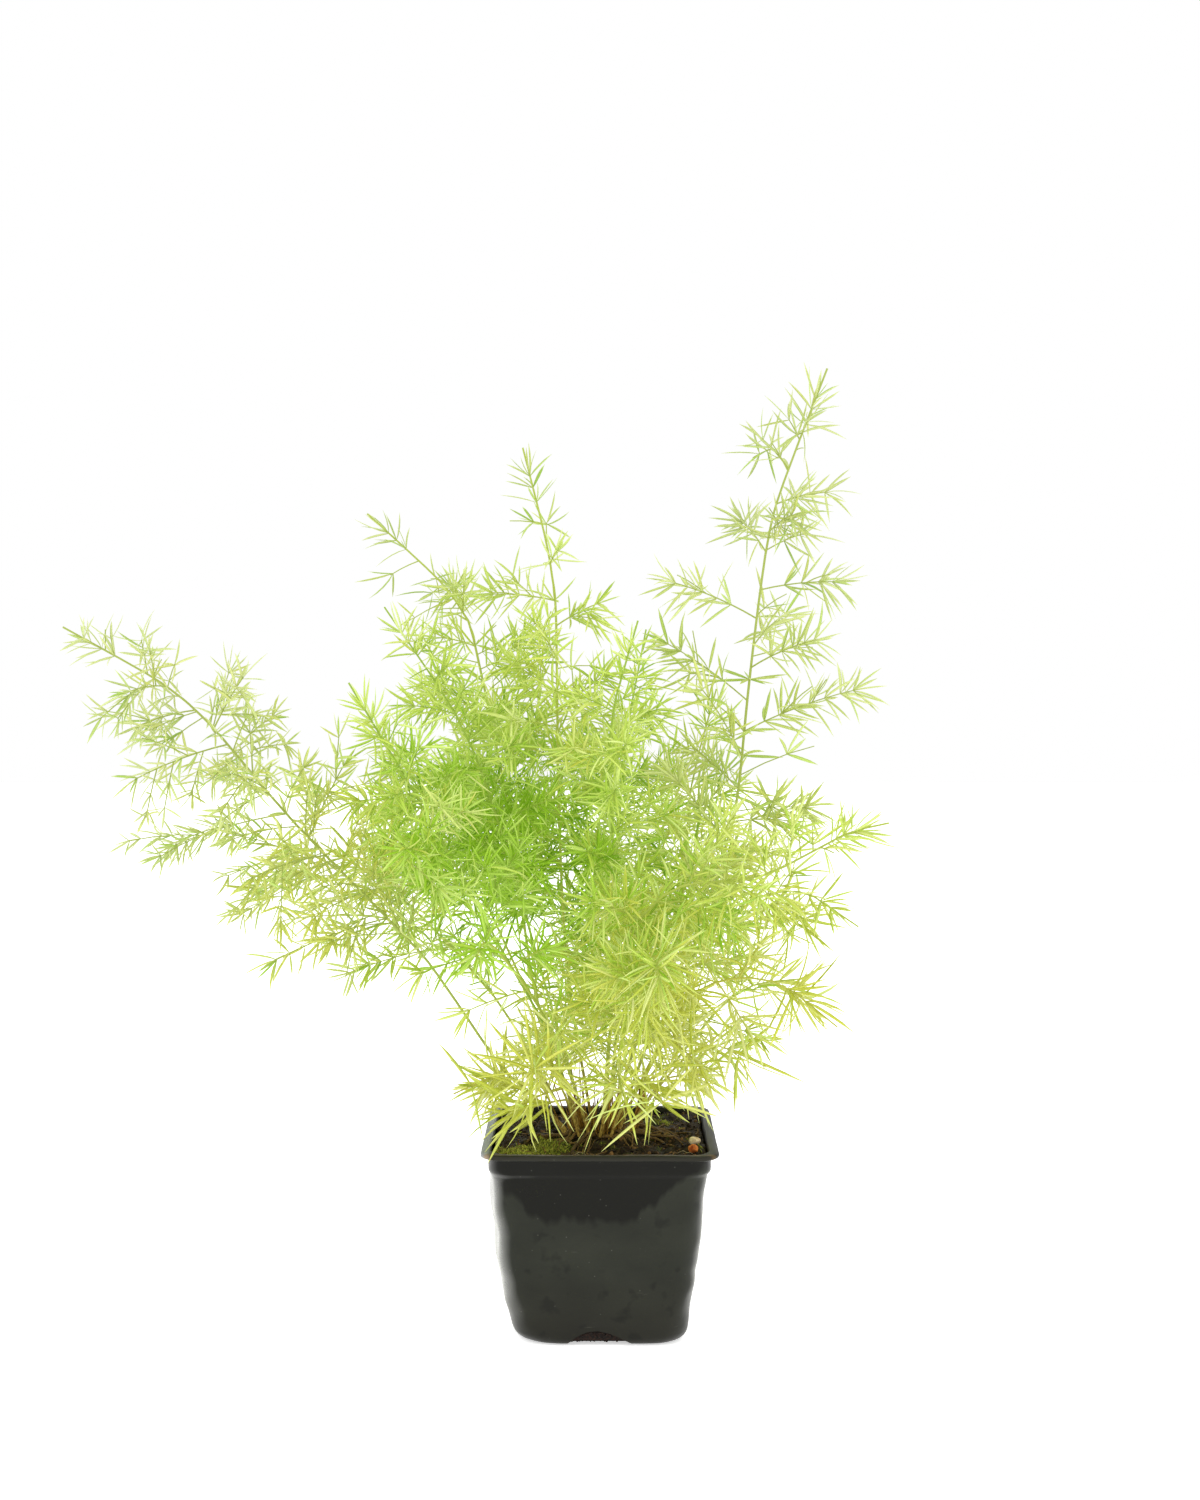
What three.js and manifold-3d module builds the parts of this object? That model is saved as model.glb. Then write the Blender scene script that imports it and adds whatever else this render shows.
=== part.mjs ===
// A potted sprengeri asparagus fern. It stands in a square nursery pot filled with potting soil.
// Millimetres, +Z up. The origin is the middle of the pot's flat base, and the front is towards -Y.
import * as THREE from "three";
import { mergeVertices } from "three/addons/utils/BufferGeometryUtils.js";
import Module from "manifold-3d";

const wasm = await Module();
wasm.setup();

// Pot: half widths of the rounded square at each height, and the openings in its base
const potHeight = 84;
const rimHalf = 50;
const wall = 1.2;
const clearance = 0.3;
const pot = {
  footHalf: 36,
  bodyBottomHalf: 37.7,
  bodyTopHalf: 45.2,
  collarHalf: 46.7,
  bodyTop: 73.6,
  collarBottom: 75.2,
  rimUnderside: potHeight - 2.4,
  cornerBottom: 12,
  cornerTop: 9.5,
  footRise: 2,
  lip: 0.6,
  drainRadius: 4,
  drainOffset: 18,
  slotWidth: 25,
  slotHeight: 5,
  slotDepth: 5,
};

// Soil: how far its edge lies under the rim, and how high the mound at the crown rises over that edge
const soil = { belowRim: 3, mound: 3.2, lump: 0.9, moundWidth: 24 };

// Growth: angles are in degrees, and lengths in millimetres
const growth = {
  seed: 20417,
  depthInSoil: 18,
  bendError: 0.5,
  taper: 0.42,
  turn: 137.5,
  branchRadius: 0.72,
  branchLean: 62,
  branchSag: 0.13,
  branchGap: 0.9,
  forkWidth: 1.8,
  leader: 30,
  leaderShare: 0.32,
  leaderId: 60,
  firstWhorl: 0.32,
  whorlSpacing: 7.6,
  whorlWidth: 2.3,
  whorlTwist: 38,
  needleRadius: 0.6,
  needleGap: 0.35,
  fewestNeedles: 3,
  tries: 10,
};

// Shoots. route is where each leaves the soil and the points that its stem passes, as x, y, z, and bare is the
// share of it without branches. spread is the longest branch, pitch the distance between forks, needle the
// length of a needle, and bold how stout its needles and branches are.
const shoots = [
  {
    name: "shoot_left_arch", colour: "pale",
    radius: 0.98, bare: 0.36, spread: 54, pitch: 12, needle: 15, bold: 1,
    route: [
      [-14, -3, 83], [-45, -8, 116], [-76, -14, 162], [-129, -24, 220], [-173, -34, 272], [-222, -42, 303],
    ],
  },
  {
    name: "shoot_left_low", colour: "fresh",
    radius: 0.85, bare: 0.42, spread: 44, pitch: 13.6, needle: 14, bold: 1,
    route: [[-13, 5, 83], [-36, 12, 124], [-56, 20, 150], [-92, 34, 184], [-128, 46, 206]],
  },
  {
    name: "shoot_left_mid", colour: "deep",
    radius: 0.88, bare: 0.4, spread: 40, pitch: 13.6, needle: 15, bold: 1,
    route: [
      [-9, -6, 83], [-22, -16, 128], [-38, -26, 160], [-64, -36, 210], [-84, -40, 246], [-104, -42, 280],
    ],
  },
  {
    name: "shoot_left_peak", colour: "fresh",
    radius: 0.88, bare: 0.4, spread: 40, pitch: 13.6, needle: 15, bold: 1,
    route: [[-9, 9, 83], [-30, 22, 146], [-40, 34, 214], [-51, 40, 268], [-64, 44, 314], [-106, 48, 356]],
  },
  {
    name: "shoot_centre_left", colour: "deep",
    radius: 0.85, bare: 0.42, spread: 40, pitch: 13.6, needle: 15, bold: 1,
    route: [[-6, 1, 84], [-22, 2, 140], [-42, -2, 212], [-60, -8, 262], [-92, -14, 312]],
  },
  {
    name: "shoot_centre_peak", colour: "fresh",
    radius: 0.9, bare: 0.4, spread: 38, pitch: 13.6, needle: 14, bold: 1,
    route: [[-3, 6, 84], [-14, 8, 150], [-18, 6, 225], [-19, 0, 306], [-24, -6, 344], [-33, -10, 380]],
  },
  {
    name: "shoot_tall_right", colour: "pale",
    radius: 1, bare: 0.34, spread: 50, pitch: 12.8, needle: 16, bold: 1,
    route: [[4, 2, 84], [26, 6, 148], [56, 8, 210], [64, 8, 268], [70, 6, 320], [77, 4, 358], [98, 0, 415]],
  },
  {
    name: "shoot_right_arch", colour: "fresh",
    radius: 0.85, bare: 0.46, spread: 34, pitch: 13.6, needle: 16, bold: 1.05,
    route: [[1, -7, 84], [8, -34, 160], [28, -52, 194], [66, -62, 202], [98, -68, 219], [116, -70, 224]],
  },
  {
    name: "shoot_right_fan", colour: "fresh",
    radius: 0.85, bare: 0.42, spread: 34, pitch: 13.6, needle: 16, bold: 1.05,
    route: [[7, -1, 84], [32, -14, 150], [60, -24, 184], [84, -32, 192], [108, -38, 178]],
  },
  {
    name: "shoot_right_low", colour: "young",
    radius: 0.85, bare: 0.36, spread: 30, pitch: 11, needle: 19, bold: 1.15,
    route: [[8, -6, 84], [26, -22, 126], [44, -34, 152], [72, -44, 156], [98, -50, 138]],
  },
  {
    name: "shoot_right_mid", colour: "fresh",
    radius: 0.85, bare: 0.42, spread: 36, pitch: 13.6, needle: 14, bold: 1,
    route: [[8, 5, 84], [26, 26, 132], [38, 44, 184], [42, 56, 230], [54, 62, 276]],
  },
  {
    name: "shoot_right_back", colour: "fresh",
    radius: 0.85, bare: 0.4, spread: 32, pitch: 12, needle: 16, bold: 1.05,
    route: [[12, 0, 83], [38, 12, 118], [64, 22, 142], [94, 30, 146]],
  },
  {
    name: "shoot_back_centre", colour: "deep",
    radius: 0.85, bare: 0.42, spread: 40, pitch: 16.5, needle: 14, bold: 1,
    route: [[2, 12, 83], [6, 42, 142], [8, 66, 204], [14, 84, 262], [22, 92, 304]],
  },
  {
    name: "shoot_back_left", colour: "fresh",
    radius: 0.85, bare: 0.42, spread: 42, pitch: 17, needle: 14, bold: 1,
    route: [[-8, 14, 83], [-32, 46, 134], [-60, 74, 188], [-88, 94, 232], [-112, 104, 258]],
  },
  {
    name: "shoot_inner_right", colour: "deep",
    radius: 0.85, bare: 0.42, spread: 34, pitch: 13.6, needle: 14, bold: 1,
    route: [[3, -2, 84], [8, -6, 142], [6, -12, 206], [4, -18, 258], [16, -24, 306]],
  },
  {
    name: "shoot_front_tuft", colour: "fresh",
    radius: 0.85, bare: 0.46, spread: 30, pitch: 12, needle: 16, bold: 1.1,
    route: [[-5, -9, 84], [-18, -30, 128], [-34, -52, 160], [-46, -72, 176], [-50, -94, 166]],
  },
  {
    name: "shoot_front_centre", colour: "fresh",
    radius: 0.85, bare: 0.36, spread: 32, pitch: 11, needle: 17, bold: 1.1,
    route: [[0, -12, 83], [8, -34, 124], [16, -52, 154], [22, -74, 168], [24, -96, 156]],
  },
  {
    name: "shoot_low_rosette", colour: "young",
    radius: 0.8, bare: 0.4, spread: 27, pitch: 9, needle: 23, bold: 1.3,
    route: [[-9, -12, 83], [-16, -28, 108], [-23, -44, 122], [-30, -66, 120]],
  },
  {
    name: "shoot_low_left", colour: "young",
    radius: 0.8, bare: 0.42, spread: 24, pitch: 9, needle: 20, bold: 1.25,
    route: [[-15, -8, 83], [-28, -16, 102], [-42, -24, 112], [-62, -30, 106]],
  },
  {
    name: "shoot_front_star", colour: "young",
    radius: 0.8, bare: 0.5, spread: 20, pitch: 9, needle: 24, bold: 1.3,
    route: [[4, -16, 83], [12, -28, 104], [20, -42, 114], [26, -58, 108]],
  },
  {
    name: "shoot_right_front", colour: "young",
    radius: 0.8, bare: 0.4, spread: 28, pitch: 10, needle: 20, bold: 1.2,
    route: [[12, -8, 83], [28, -18, 110], [46, -26, 126], [70, -32, 118]],
  },
];

const colours = {
  pot: 0x33342f,
  soil: 0x2a2015,
  deep: 0x86b63c,
  fresh: 0x9cc445,
  pale: 0xafcf5c,
  young: 0xb9c651,
  stub: 0x5d4a24,
  grainPale: 0xd2b483,
  grainRust: 0xb8672c,
};

// Small solids on the soil: old cut stems beside the crown, and two clay grains in the right front corner
const stubs = [
  { name: "old_stub_back", foot: [16, 12, 82], top: [19, 14, 101], radius: 1.9 },
  { name: "old_stub_right", foot: [8, 19, 82], top: [8, 23, 93], radius: 1.5 },
];
const grains = [
  { name: "clay_grain_pale", at: [40.5, -19, 83.2], size: [2.9, 2.6, 2.4], colour: colours.grainPale },
  { name: "clay_grain_rust", at: [39.5, -30, 82.6], size: [2.5, 2.9, 2.1], colour: colours.grainRust },
];

const radians = Math.PI / 180;
const up = new THREE.Vector3(0, 0, 1);

// A repeatable number from 0 to 1 for four whole numbers
function chance(a, b, c, d) {
  let h = growth.seed ^ Math.imul(a + 1, 0x9e3779b1) ^ Math.imul(b + 1, 0x85ebca6b);
  h ^= Math.imul(c + 1, 0xc2b2ae35) ^ Math.imul(d + 1, 0x27d4eb2f);
  h = Math.imul(h ^ (h >>> 15), 0x2c1b3c6d);
  h = Math.imul(h ^ (h >>> 12), 0x297a2d39);
  return ((h ^ (h >>> 15)) >>> 0) / 4294967296;
}

// Solids

function geometryOf(points, faces) {
  const geometry = new THREE.BufferGeometry();
  geometry.setAttribute("position", new THREE.Float32BufferAttribute(points.flat(), 3));
  geometry.setIndex(faces.flat());
  return geometry;
}

function solidOf(geometry) {
  const bare = geometry.clone();
  bare.deleteAttribute("normal");
  bare.deleteAttribute("uv");
  const merged = mergeVertices(bare, 1e-4);
  return new wasm.Manifold(
    new wasm.Mesh({
      numProp: 3,
      vertProperties: merged.attributes.position.array,
      triVerts: new Uint32Array(merged.index.array),
    }),
  );
}

function meshOf(solid, name, colour, roughness) {
  const made = solid.getMesh();
  const geometry = new THREE.BufferGeometry();
  geometry.setAttribute("position", new THREE.BufferAttribute(made.vertProperties, 3));
  geometry.setIndex(new THREE.BufferAttribute(made.triVerts, 1));
  geometry.computeVertexNormals();
  const material = new THREE.MeshStandardMaterial({ color: colour, roughness, metalness: 0 });
  const mesh = new THREE.Mesh(geometry, material);
  mesh.name = name;
  return mesh;
}

// One closed skin through rings of equal count, with both ends capped from their middles
function skinOf(rings) {
  const count = rings[0].length;
  const points = rings.flat();
  const faces = [];
  for (let k = 0; k + 1 < rings.length; k++)
    for (let i = 0; i < count; i++) {
      const a = k * count + i;
      const b = k * count + ((i + 1) % count);
      faces.push([a, b, b + count], [a, b + count, a + count]);
    }
  for (const [ring, flip] of [[0, true], [rings.length - 1, false]]) {
    const middle = points.length;
    points.push([0, 1, 2].map((axis) => rings[ring].reduce((sum, p) => sum + p[axis], 0) / count));
    for (let i = 0; i < count; i++) {
      const a = ring * count + i;
      const b = ring * count + ((i + 1) % count);
      faces.push(flip ? [b, a, middle] : [a, b, middle]);
    }
  }
  return geometryOf(points, faces);
}

// A rounded square, four points to a corner
function squareRing(half, corner, z) {
  const ring = [];
  for (let side = 0; side < 4; side++)
    for (let step = 0; step < 4; step++) {
      const angle = (side + step / 3) * 90 * radians;
      const across = side === 0 || side === 3 ? half - corner : corner - half;
      const along = side < 2 ? half - corner : corner - half;
      ring.push([across + corner * Math.cos(angle), along + corner * Math.sin(angle), z]);
    }
  return ring;
}

function makePot() {
  const { footHalf, bodyBottomHalf, bodyTopHalf, bodyTop, collarHalf, collarBottom, rimUnderside } = pot;
  const { cornerBottom, cornerTop, lip, footRise } = pot;
  const outside = [
    squareRing(footHalf, cornerBottom, 0),
    squareRing(bodyBottomHalf, cornerBottom, footRise),
    squareRing(bodyTopHalf, cornerTop, bodyTop),
    squareRing(collarHalf, cornerTop, collarBottom),
    squareRing(collarHalf, cornerTop, rimUnderside),
    squareRing(rimHalf, cornerTop, rimUnderside),
    squareRing(rimHalf, cornerTop, potHeight - lip),
    squareRing(rimHalf - lip, cornerTop, potHeight),
  ];
  const inside = [
    squareRing(collarHalf - wall, cornerTop - wall, potHeight),
    squareRing(collarHalf - wall - 0.2, cornerTop - wall, collarBottom + 0.6),
    squareRing(bodyTopHalf - wall, cornerTop - wall, bodyTop - 0.4),
    squareRing(bodyBottomHalf - wall, cornerBottom - wall, footRise),
  ];
  let solid = solidOf(skinOf([...outside, ...inside]));
  const drain = new THREE.CylinderGeometry(pot.drainRadius, pot.drainRadius, 6, 8).rotateX(90 * radians);
  for (const x of [-pot.drainOffset, pot.drainOffset])
    for (const y of [-pot.drainOffset, pot.drainOffset])
      solid = solid.subtract(solidOf(drain.clone().translate(x, y, 0)));
  for (let side = 0; side < 4; side++) solid = solid.subtract(solidOf(drainSlot(side)));
  return solid;
}

// The arched slot where a wall meets the base
function drainSlot(side) {
  const { slotWidth, slotHeight, slotDepth } = pot;
  const arch = new THREE.Shape();
  arch.moveTo(-slotWidth / 2, -1);
  arch.lineTo(slotWidth / 2, -1);
  arch.quadraticCurveTo(slotWidth * 0.3, slotHeight, 0, slotHeight);
  arch.quadraticCurveTo(-slotWidth * 0.3, slotHeight, -slotWidth / 2, -1);
  const deep = { depth: slotDepth * 2, bevelEnabled: false, curveSegments: 3 };
  const cut = new THREE.ExtrudeGeometry(arch, deep);
  cut.rotateX(90 * radians).translate(0, -(pot.footHalf - slotDepth), 0);
  return cut.rotateZ(side * 90 * radians);
}

// Height of the soil's top at a point: a mound at the crown, and lumps that repeat nowhere
function soilTop(x, y) {
  const edge = potHeight - soil.belowRim;
  const mound = soil.mound * Math.exp(-(x * x + y * y) / (soil.moundWidth * soil.moundWidth));
  const lumps = Math.sin(x * 0.31 + 1.3) * Math.cos(y * 0.27) + 0.6 * Math.sin(x * 0.13 - y * 0.41);
  return edge + mound + soil.lump * lumps;
}

// True if a point is clear of the soil and of the pot's rim
function clearsPot(p) {
  const out = Math.max(Math.abs(p.x), Math.abs(p.y));
  return out > rimHalf + 1.5 || p.z > Math.max(potHeight, soilTop(p.x, p.y)) + 1.2;
}

function makeSoil() {
  const { footHalf, bodyBottomHalf, bodyTopHalf, bodyTop, collarHalf, collarBottom } = pot;
  const { cornerBottom, cornerTop, footRise } = pot;
  const gap = wall + clearance;
  const topHalf = collarHalf - gap - 0.3;
  const corner = cornerTop - gap;
  const rings = [
    squareRing(bodyBottomHalf - gap - 0.1, cornerBottom - gap, footRise + clearance),
    squareRing(bodyTopHalf - gap - 0.1, corner, bodyTop - 0.6),
    squareRing(topHalf, corner, collarBottom + 1.6),
  ];
  for (const [k, share] of [1, 0.78, 0.5, 0.24].entries()) {
    const loose = k ? 1.6 : 0;
    const nudge = (axis, i) => loose * (chance(70 + axis, i, k, 0) - 0.5);
    const rough = ([x, y], i) => [x + nudge(0, i), y + nudge(1, i), soilTop(x, y) + nudge(2, i) * 0.6];
    rings.push(squareRing(topHalf * share, corner * share, 0).map(rough));
  }
  return solidOf(skinOf(rings));
}

// Lines: a list of points, each with the distance walked to it, and a direction across the line

function walkable(points, side) {
  const at = [0];
  for (let i = 1; i < points.length; i++) at.push(at[i - 1] + points[i].distanceTo(points[i - 1]));
  return { points, at, side, length: at[at.length - 1] };
}

// The points of a curve that are needed to keep its form
function thinned(points, error) {
  const chord = new THREE.Line3(points[0], points[points.length - 1]);
  const foot = new THREE.Vector3();
  const off = points.map((p) => chord.closestPointToPoint(p, true, foot).distanceTo(p));
  const worst = off.indexOf(Math.max(...off));
  if (off[worst] < error) return [chord.start, chord.end];
  const before = thinned(points.slice(0, worst + 1), error);
  return [...before.slice(0, -1), ...thinned(points.slice(worst), error)];
}

function stemLine(shoot) {
  const root = new THREE.Vector3(...shoot.route[0]).addScaledVector(up, -growth.depthInSoil);
  const route = [root, ...shoot.route.map((p) => new THREE.Vector3(...p))];
  const curve = new THREE.CatmullRomCurve3(route, false, "catmullrom", 0.5);
  const points = thinned(curve.getPoints(12 * (route.length - 1)), growth.bendError);
  const lean = route[route.length - 1].clone().sub(root);
  return walkable(points, lean.cross(up).normalize());
}

// Point, direction and two directions across, at a distance along a line
function walk(line, distance) {
  let i = 0;
  while (i < line.points.length - 2 && line.at[i + 1] < distance) i++;
  const [a, b] = [line.points[i], line.points[i + 1]];
  const ahead = b.clone().sub(a).normalize();
  return framed(a.clone().addScaledVector(ahead, distance - line.at[i]), ahead, line.side);
}

function framed(point, ahead, across) {
  const side = across.clone().addScaledVector(ahead, -across.dot(ahead)).normalize();
  return { point, ahead, side, other: ahead.clone().cross(side) };
}

// Direction that leans away from the way ahead by one angle, at another angle round it
function leaning({ ahead, side, other }, lean, round) {
  const [c, s] = [Math.cos(round * radians), Math.sin(round * radians)];
  const outward = side.clone().multiplyScalar(c).addScaledVector(other, s);
  return ahead
    .clone()
    .multiplyScalar(Math.cos(lean * radians))
    .addScaledVector(outward, Math.sin(lean * radians));
}

function ringAround({ point, side, other }, radius, sides, turned = 0) {
  return Array.from({ length: sides }, (_, i) => {
    const angle = (i / sides) * 2 * Math.PI + turned * radians;
    const spot = point.clone().addScaledVector(side, radius * Math.cos(angle));
    return spot.addScaledVector(other, radius * Math.sin(angle)).toArray();
  });
}

// Everything grown so far, as rods that nothing may come near
const rods = [];

function rodDistance(p, q, a, b) {
  const d1 = q.clone().sub(p);
  const d2 = b.clone().sub(a);
  const r = p.clone().sub(a);
  const [aa, ee, f] = [d1.dot(d1), d2.dot(d2), d2.dot(r)];
  const [c, bb] = [d1.dot(r), d1.dot(d2)];
  const den = aa * ee - bb * bb;
  let s = den > 1e-9 ? Math.min(1, Math.max(0, (bb * f - c * ee) / den)) : 0;
  let t = (bb * s + f) / ee;
  if (t < 0 || t > 1) {
    t = Math.min(1, Math.max(0, t));
    s = Math.min(1, Math.max(0, (bb * t - c) / aa));
  }
  return r.addScaledVector(d1, s).addScaledVector(d2, -t).length();
}

// True if the rod p to q stays clear of all others but those that skip names
function isClear(p, q, radius, gap, skip) {
  const middle = p.clone().add(q).multiplyScalar(0.5);
  const reach = p.distanceTo(q) / 2;
  for (const rod of rods) {
    const need = radius + rod.radius + gap;
    if (middle.distanceTo(rod.middle) > reach + rod.reach + need) continue;
    if (!skip(rod) && rodDistance(p, q, rod.from, rod.to) < need) return false;
  }
  return true;
}

function addRod(from, to, radius, tags) {
  const middle = from.clone().add(to).multiplyScalar(0.5);
  rods.push({ from, to, radius, middle, reach: from.distanceTo(to) / 2, ...tags });
}

function addLineRods(line, radius, tags) {
  for (let piece = 1; piece < line.points.length; piece++)
    addRod(line.points[piece - 1], line.points[piece], radius, { ...tags, piece });
}

// A branch that leaves its stem at a fork, and droops towards its end
function branchLine(fork, lean, round, length) {
  const away = leaning(fork, lean, round);
  const steps = 6;
  const points = [];
  for (let i = 0; i <= steps; i++) {
    const s = (i / steps) * length;
    const p = fork.point.clone().addScaledVector(away, s);
    p.z -= (growth.branchSag * s * s) / length;
    points.push(p);
  }
  return walkable(points, away.clone().cross(fork.ahead).normalize());
}

// Share of the longest branch that grows at a share t of the leafy length
function branchShare(t) {
  return 0.34 + 0.66 * Math.sin(Math.PI * Math.min(1, 0.22 + 0.78 * t)) ** 0.8;
}

// The forks of a stem: each bears one or two branches, on different sides of the stem
function growForks(shoot, f, stem) {
  const start = shoot.bare * stem.length;
  const end = stem.length - leaderLength(shoot, stem);
  const count = Math.max(1, Math.floor((end - start) / shoot.pitch));
  const forks = [];
  for (let b = 0; b < count; b++) {
    const at = start + shoot.pitch * (b + 0.5 * chance(f, b, 0, 1));
    const spread = shoot.spread * branchShare((at - start) / (end - start));
    const spot = walk(stem, at);
    const fork = { spot, at, turned: 0, branches: [] };
    for (let attempt = 0; attempt < growth.tries && !fork.branches.length; attempt++) {
      fork.turned = growth.turn * b + 360 * chance(f, 0, 0, 3) + 40 * chance(f, b, 0, 4) + 37 * attempt;
      for (const side of [0, 1, 2]) {
        const id = 3 * b + side;
        if (side === 2 && fork.branches.length > 1) continue;
        const branch = growBranch(shoot, f, id, fork, side, spread * (0.7 + 0.42 * chance(f, id, 0, 2)));
        if (branch) fork.branches.push(branch);
      }
    }
    if (fork.branches.length) forks.push(fork);
  }
  return forks;
}

function growBranch(shoot, f, id, fork, side, length) {
  const radius = growth.branchRadius * shoot.bold;
  const skip = (rod) => rod.shoot === f && rod.branch === -1;
  for (let attempt = 0; attempt < 3; attempt++) {
    const round = fork.turned + 75 + 120 * side + 36 * (chance(f, id, attempt, 5) - 0.5);
    const lean = growth.branchLean + 26 * (chance(f, id, attempt, 6) - 0.5);
    const line = branchLine(fork.spot, lean, round, length);
    if (!line.points.every(clearsPot)) continue;
    const clear = (p, i) => isClear(line.points[i], p, radius, growth.branchGap, skip);
    if (!line.points.slice(1).every(clear)) continue;
    addLineRods(line, radius * 0.8, { shoot: f, branch: id });
    return { id, line, radius, side };
  }
  return null;
}

function leaderLength(shoot, stem) {
  return Math.max(0.8 * shoot.needle + 10, Math.min(growth.leader, growth.leaderShare * stem.length));
}

// The last stretch of a stem, which bears needles itself
function leaderOf(shoot, stem) {
  const start = stem.length - leaderLength(shoot, stem);
  const length = leaderLength(shoot, stem) - 0.8 * shoot.needle;
  const points = [0, 1, 2, 3, 4, 5, 6].map((i) => walk(stem, start + (length * i) / 6).point);
  const radius = growth.branchRadius * shoot.bold;
  return { id: growth.leaderId, line: walkable(points, stem.side), radius };
}

// The whorls of one branch: where each sits, and the needles that it bears
function growWhorls(shoot, f, branch) {
  const { line, radius, id } = branch;
  const leafy = 1 - growth.firstWhorl;
  const count = Math.max(2, Math.round((line.length * leafy) / growth.whorlSpacing) + 1);
  const width = growth.whorlWidth * shoot.bold;
  const shares = Array.from({ length: count }, (_, w) => growth.firstWhorl + (leafy * w) / (count - 1));
  const spots = shares.map((share) => walk(line, Math.min(share * line.length, line.length - width * 0.6)));
  const tip = growTip(shoot, f, id, count - 1, spots[count - 1]);
  const stations = spots.map((spot, w) => {
    const turned = growth.whorlTwist * w + 360 * chance(f, id, 0, 7);
    const last = w === count - 1;
    const grow = (slot) => growNeedle(shoot, f, id, w, slot, spot, turned, last);
    const sprouts = whorlSlots(f, id, w).map(grow).filter(Boolean);
    return { spot, turned, radius: radius * (1 - 0.2 * shares[w]), width, sprouts };
  });
  const kept = ({ sprouts }, w) => w === count - 1 || sprouts.length >= growth.fewestNeedles;
  return { stations: stations.filter(kept), tip };
}

// The needle that a branch ends in
function growTip(shoot, f, id, w, spot) {
  const thick = growth.needleRadius * shoot.bold;
  const skip = ownRods(f, id, w);
  let tip = null;
  for (let attempt = 0; attempt < growth.tries; attempt++) {
    const toward = leaning(spot, 2.5 * attempt, 360 * chance(f, id, 50, attempt));
    const length = shoot.needle * (1 - 0.3 * chance(f, id, 51, 8)) * (1 - 0.06 * attempt);
    tip = spot.point.clone().addScaledVector(toward, length);
    if (clearsPot(tip) && isClear(spot.point, tip, thick, growth.needleGap, skip)) break;
  }
  addRod(spot.point, tip, thick, { shoot: f, branch: id, whorl: w });
  return tip;
}

// Picks out the rods that a needle may touch: its own whorl, and the tube that bears it
function ownRods(f, id, w) {
  const own = (rod) => rod.branch === id || (id === growth.leaderId && rod.branch === -1);
  return (rod) => rod.shoot === f && own(rod) && (rod.whorl === w || rod.piece !== undefined);
}

// Which of the six facets of a whorl are drawn out: two on each of its three sides
function whorlSlots(f, id, w) {
  const first = Math.floor(3 * chance(f, id, w, 9));
  const order = [0, 2, 4, 1, 3, 5].map((slot) => (slot + 2 * first) % 6);
  return order.slice(0, 5 + Math.floor(1.8 * chance(f, id, w, 10)));
}

// A needle from one facet: the upper facet of a side leans ahead and one way round, the lower the other way
function growNeedle(shoot, f, id, w, slot, spot, turned, last) {
  const upper = slot % 2;
  const [thick, thin] = [growth.needleRadius * shoot.bold, growth.needleRadius * shoot.bold * 0.6];
  const skip = ownRods(f, id, w);
  for (let attempt = 0; attempt < growth.tries; attempt++) {
    const draw = (n) => chance(f * 64 + id, w, slot * 16 + attempt, n);
    const offset = 8 + 30 * draw(11);
    const round = turned + 60 + 120 * Math.floor(slot / 2) + (upper ? -offset : offset);
    const lean = (upper ? 34 : 50) + 20 * draw(12) - (last ? 12 : 0);
    const length = shoot.needle * (1.15 - 0.4 * draw(13) - 0.02 * attempt);
    const toward = leaning(spot, lean, round);
    const from = spot.point.clone().addScaledVector(toward, 1.6);
    const tip = spot.point.clone().addScaledVector(toward, length);
    const middle = from.clone().lerp(tip, 0.4);
    if (!clearsPot(middle) || !clearsPot(tip)) continue;
    if (!isClear(from, middle, thick, growth.needleGap, skip)) continue;
    if (!isClear(middle, tip, thin, growth.needleGap, skip)) continue;
    addRod(from, middle, thick, { shoot: f, branch: id, whorl: w });
    addRod(middle, tip, thin, { shoot: f, branch: id, whorl: w });
    return { slot, tip };
  }
  return null;
}

// Skins

// A skin grows from a triangle through its stations. A station is one ring of three points, or two rings
// with six facets between them. Each facet may sprout a needle, which is a tip, or a branch with stations.
function growSkin(skin, base, { stations, tip }) {
  let below = base;
  for (const { spot, turned, radius, width, sprouts } of stations) {
    const halves = width ? [-0.5, 0.5] : [0];
    halves.forEach((half, i) => {
      const point = spot.point.clone().addScaledVector(spot.ahead, half * width);
      const ring = ringAround({ ...spot, point }, radius, 3, turned).map((p) => skin.points.push(p) - 1);
      joinRings(skin, i ? below : aligned(skin, below, ring), ring, i ? sprouts : []);
      below = ring;
    });
  }
  drawOut(skin, below, tip);
}

// The three points of a ring in the order that makes the fullest skin to the next ring
function aligned(skin, below, ring) {
  const far = (a, b) => skin.points[a].reduce((sum, v, axis) => sum + (v - skin.points[b][axis]) ** 2, 0);
  const turns = [0, 1, 2].map((turn) => [0, 1, 2].map((i) => below[(i + turn) % 3]));
  const cost = (turn) => turn.reduce((sum, v, i) => sum + far(v, ring[i]) + far(v, ring[(i + 1) % 3]), 0);
  const costs = turns.map(cost);
  return turns[costs.findIndex((c) => c < Math.min(...costs) + 1e-6)];
}

function joinRings(skin, below, above, sprouts) {
  for (let i = 0; i < 3; i++) {
    const [a, b] = [below[i], below[(i + 1) % 3]];
    const [d, c] = [above[i], above[(i + 1) % 3]];
    for (const [upper, facet] of [[a, b, c], [a, c, d]].entries()) {
      const sprout = sprouts.find(({ slot }) => slot === 2 * i + upper);
      if (!sprout) skin.faces.push(facet);
      else if (sprout.stations) growSkin(skin, facet, sprout);
      else drawOut(skin, facet, sprout.tip);
    }
  }
}

function drawOut(skin, [a, b, c], tip) {
  const t = skin.points.push(tip.toArray()) - 1;
  skin.faces.push([a, b, t], [b, c, t], [c, a, t]);
}

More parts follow.
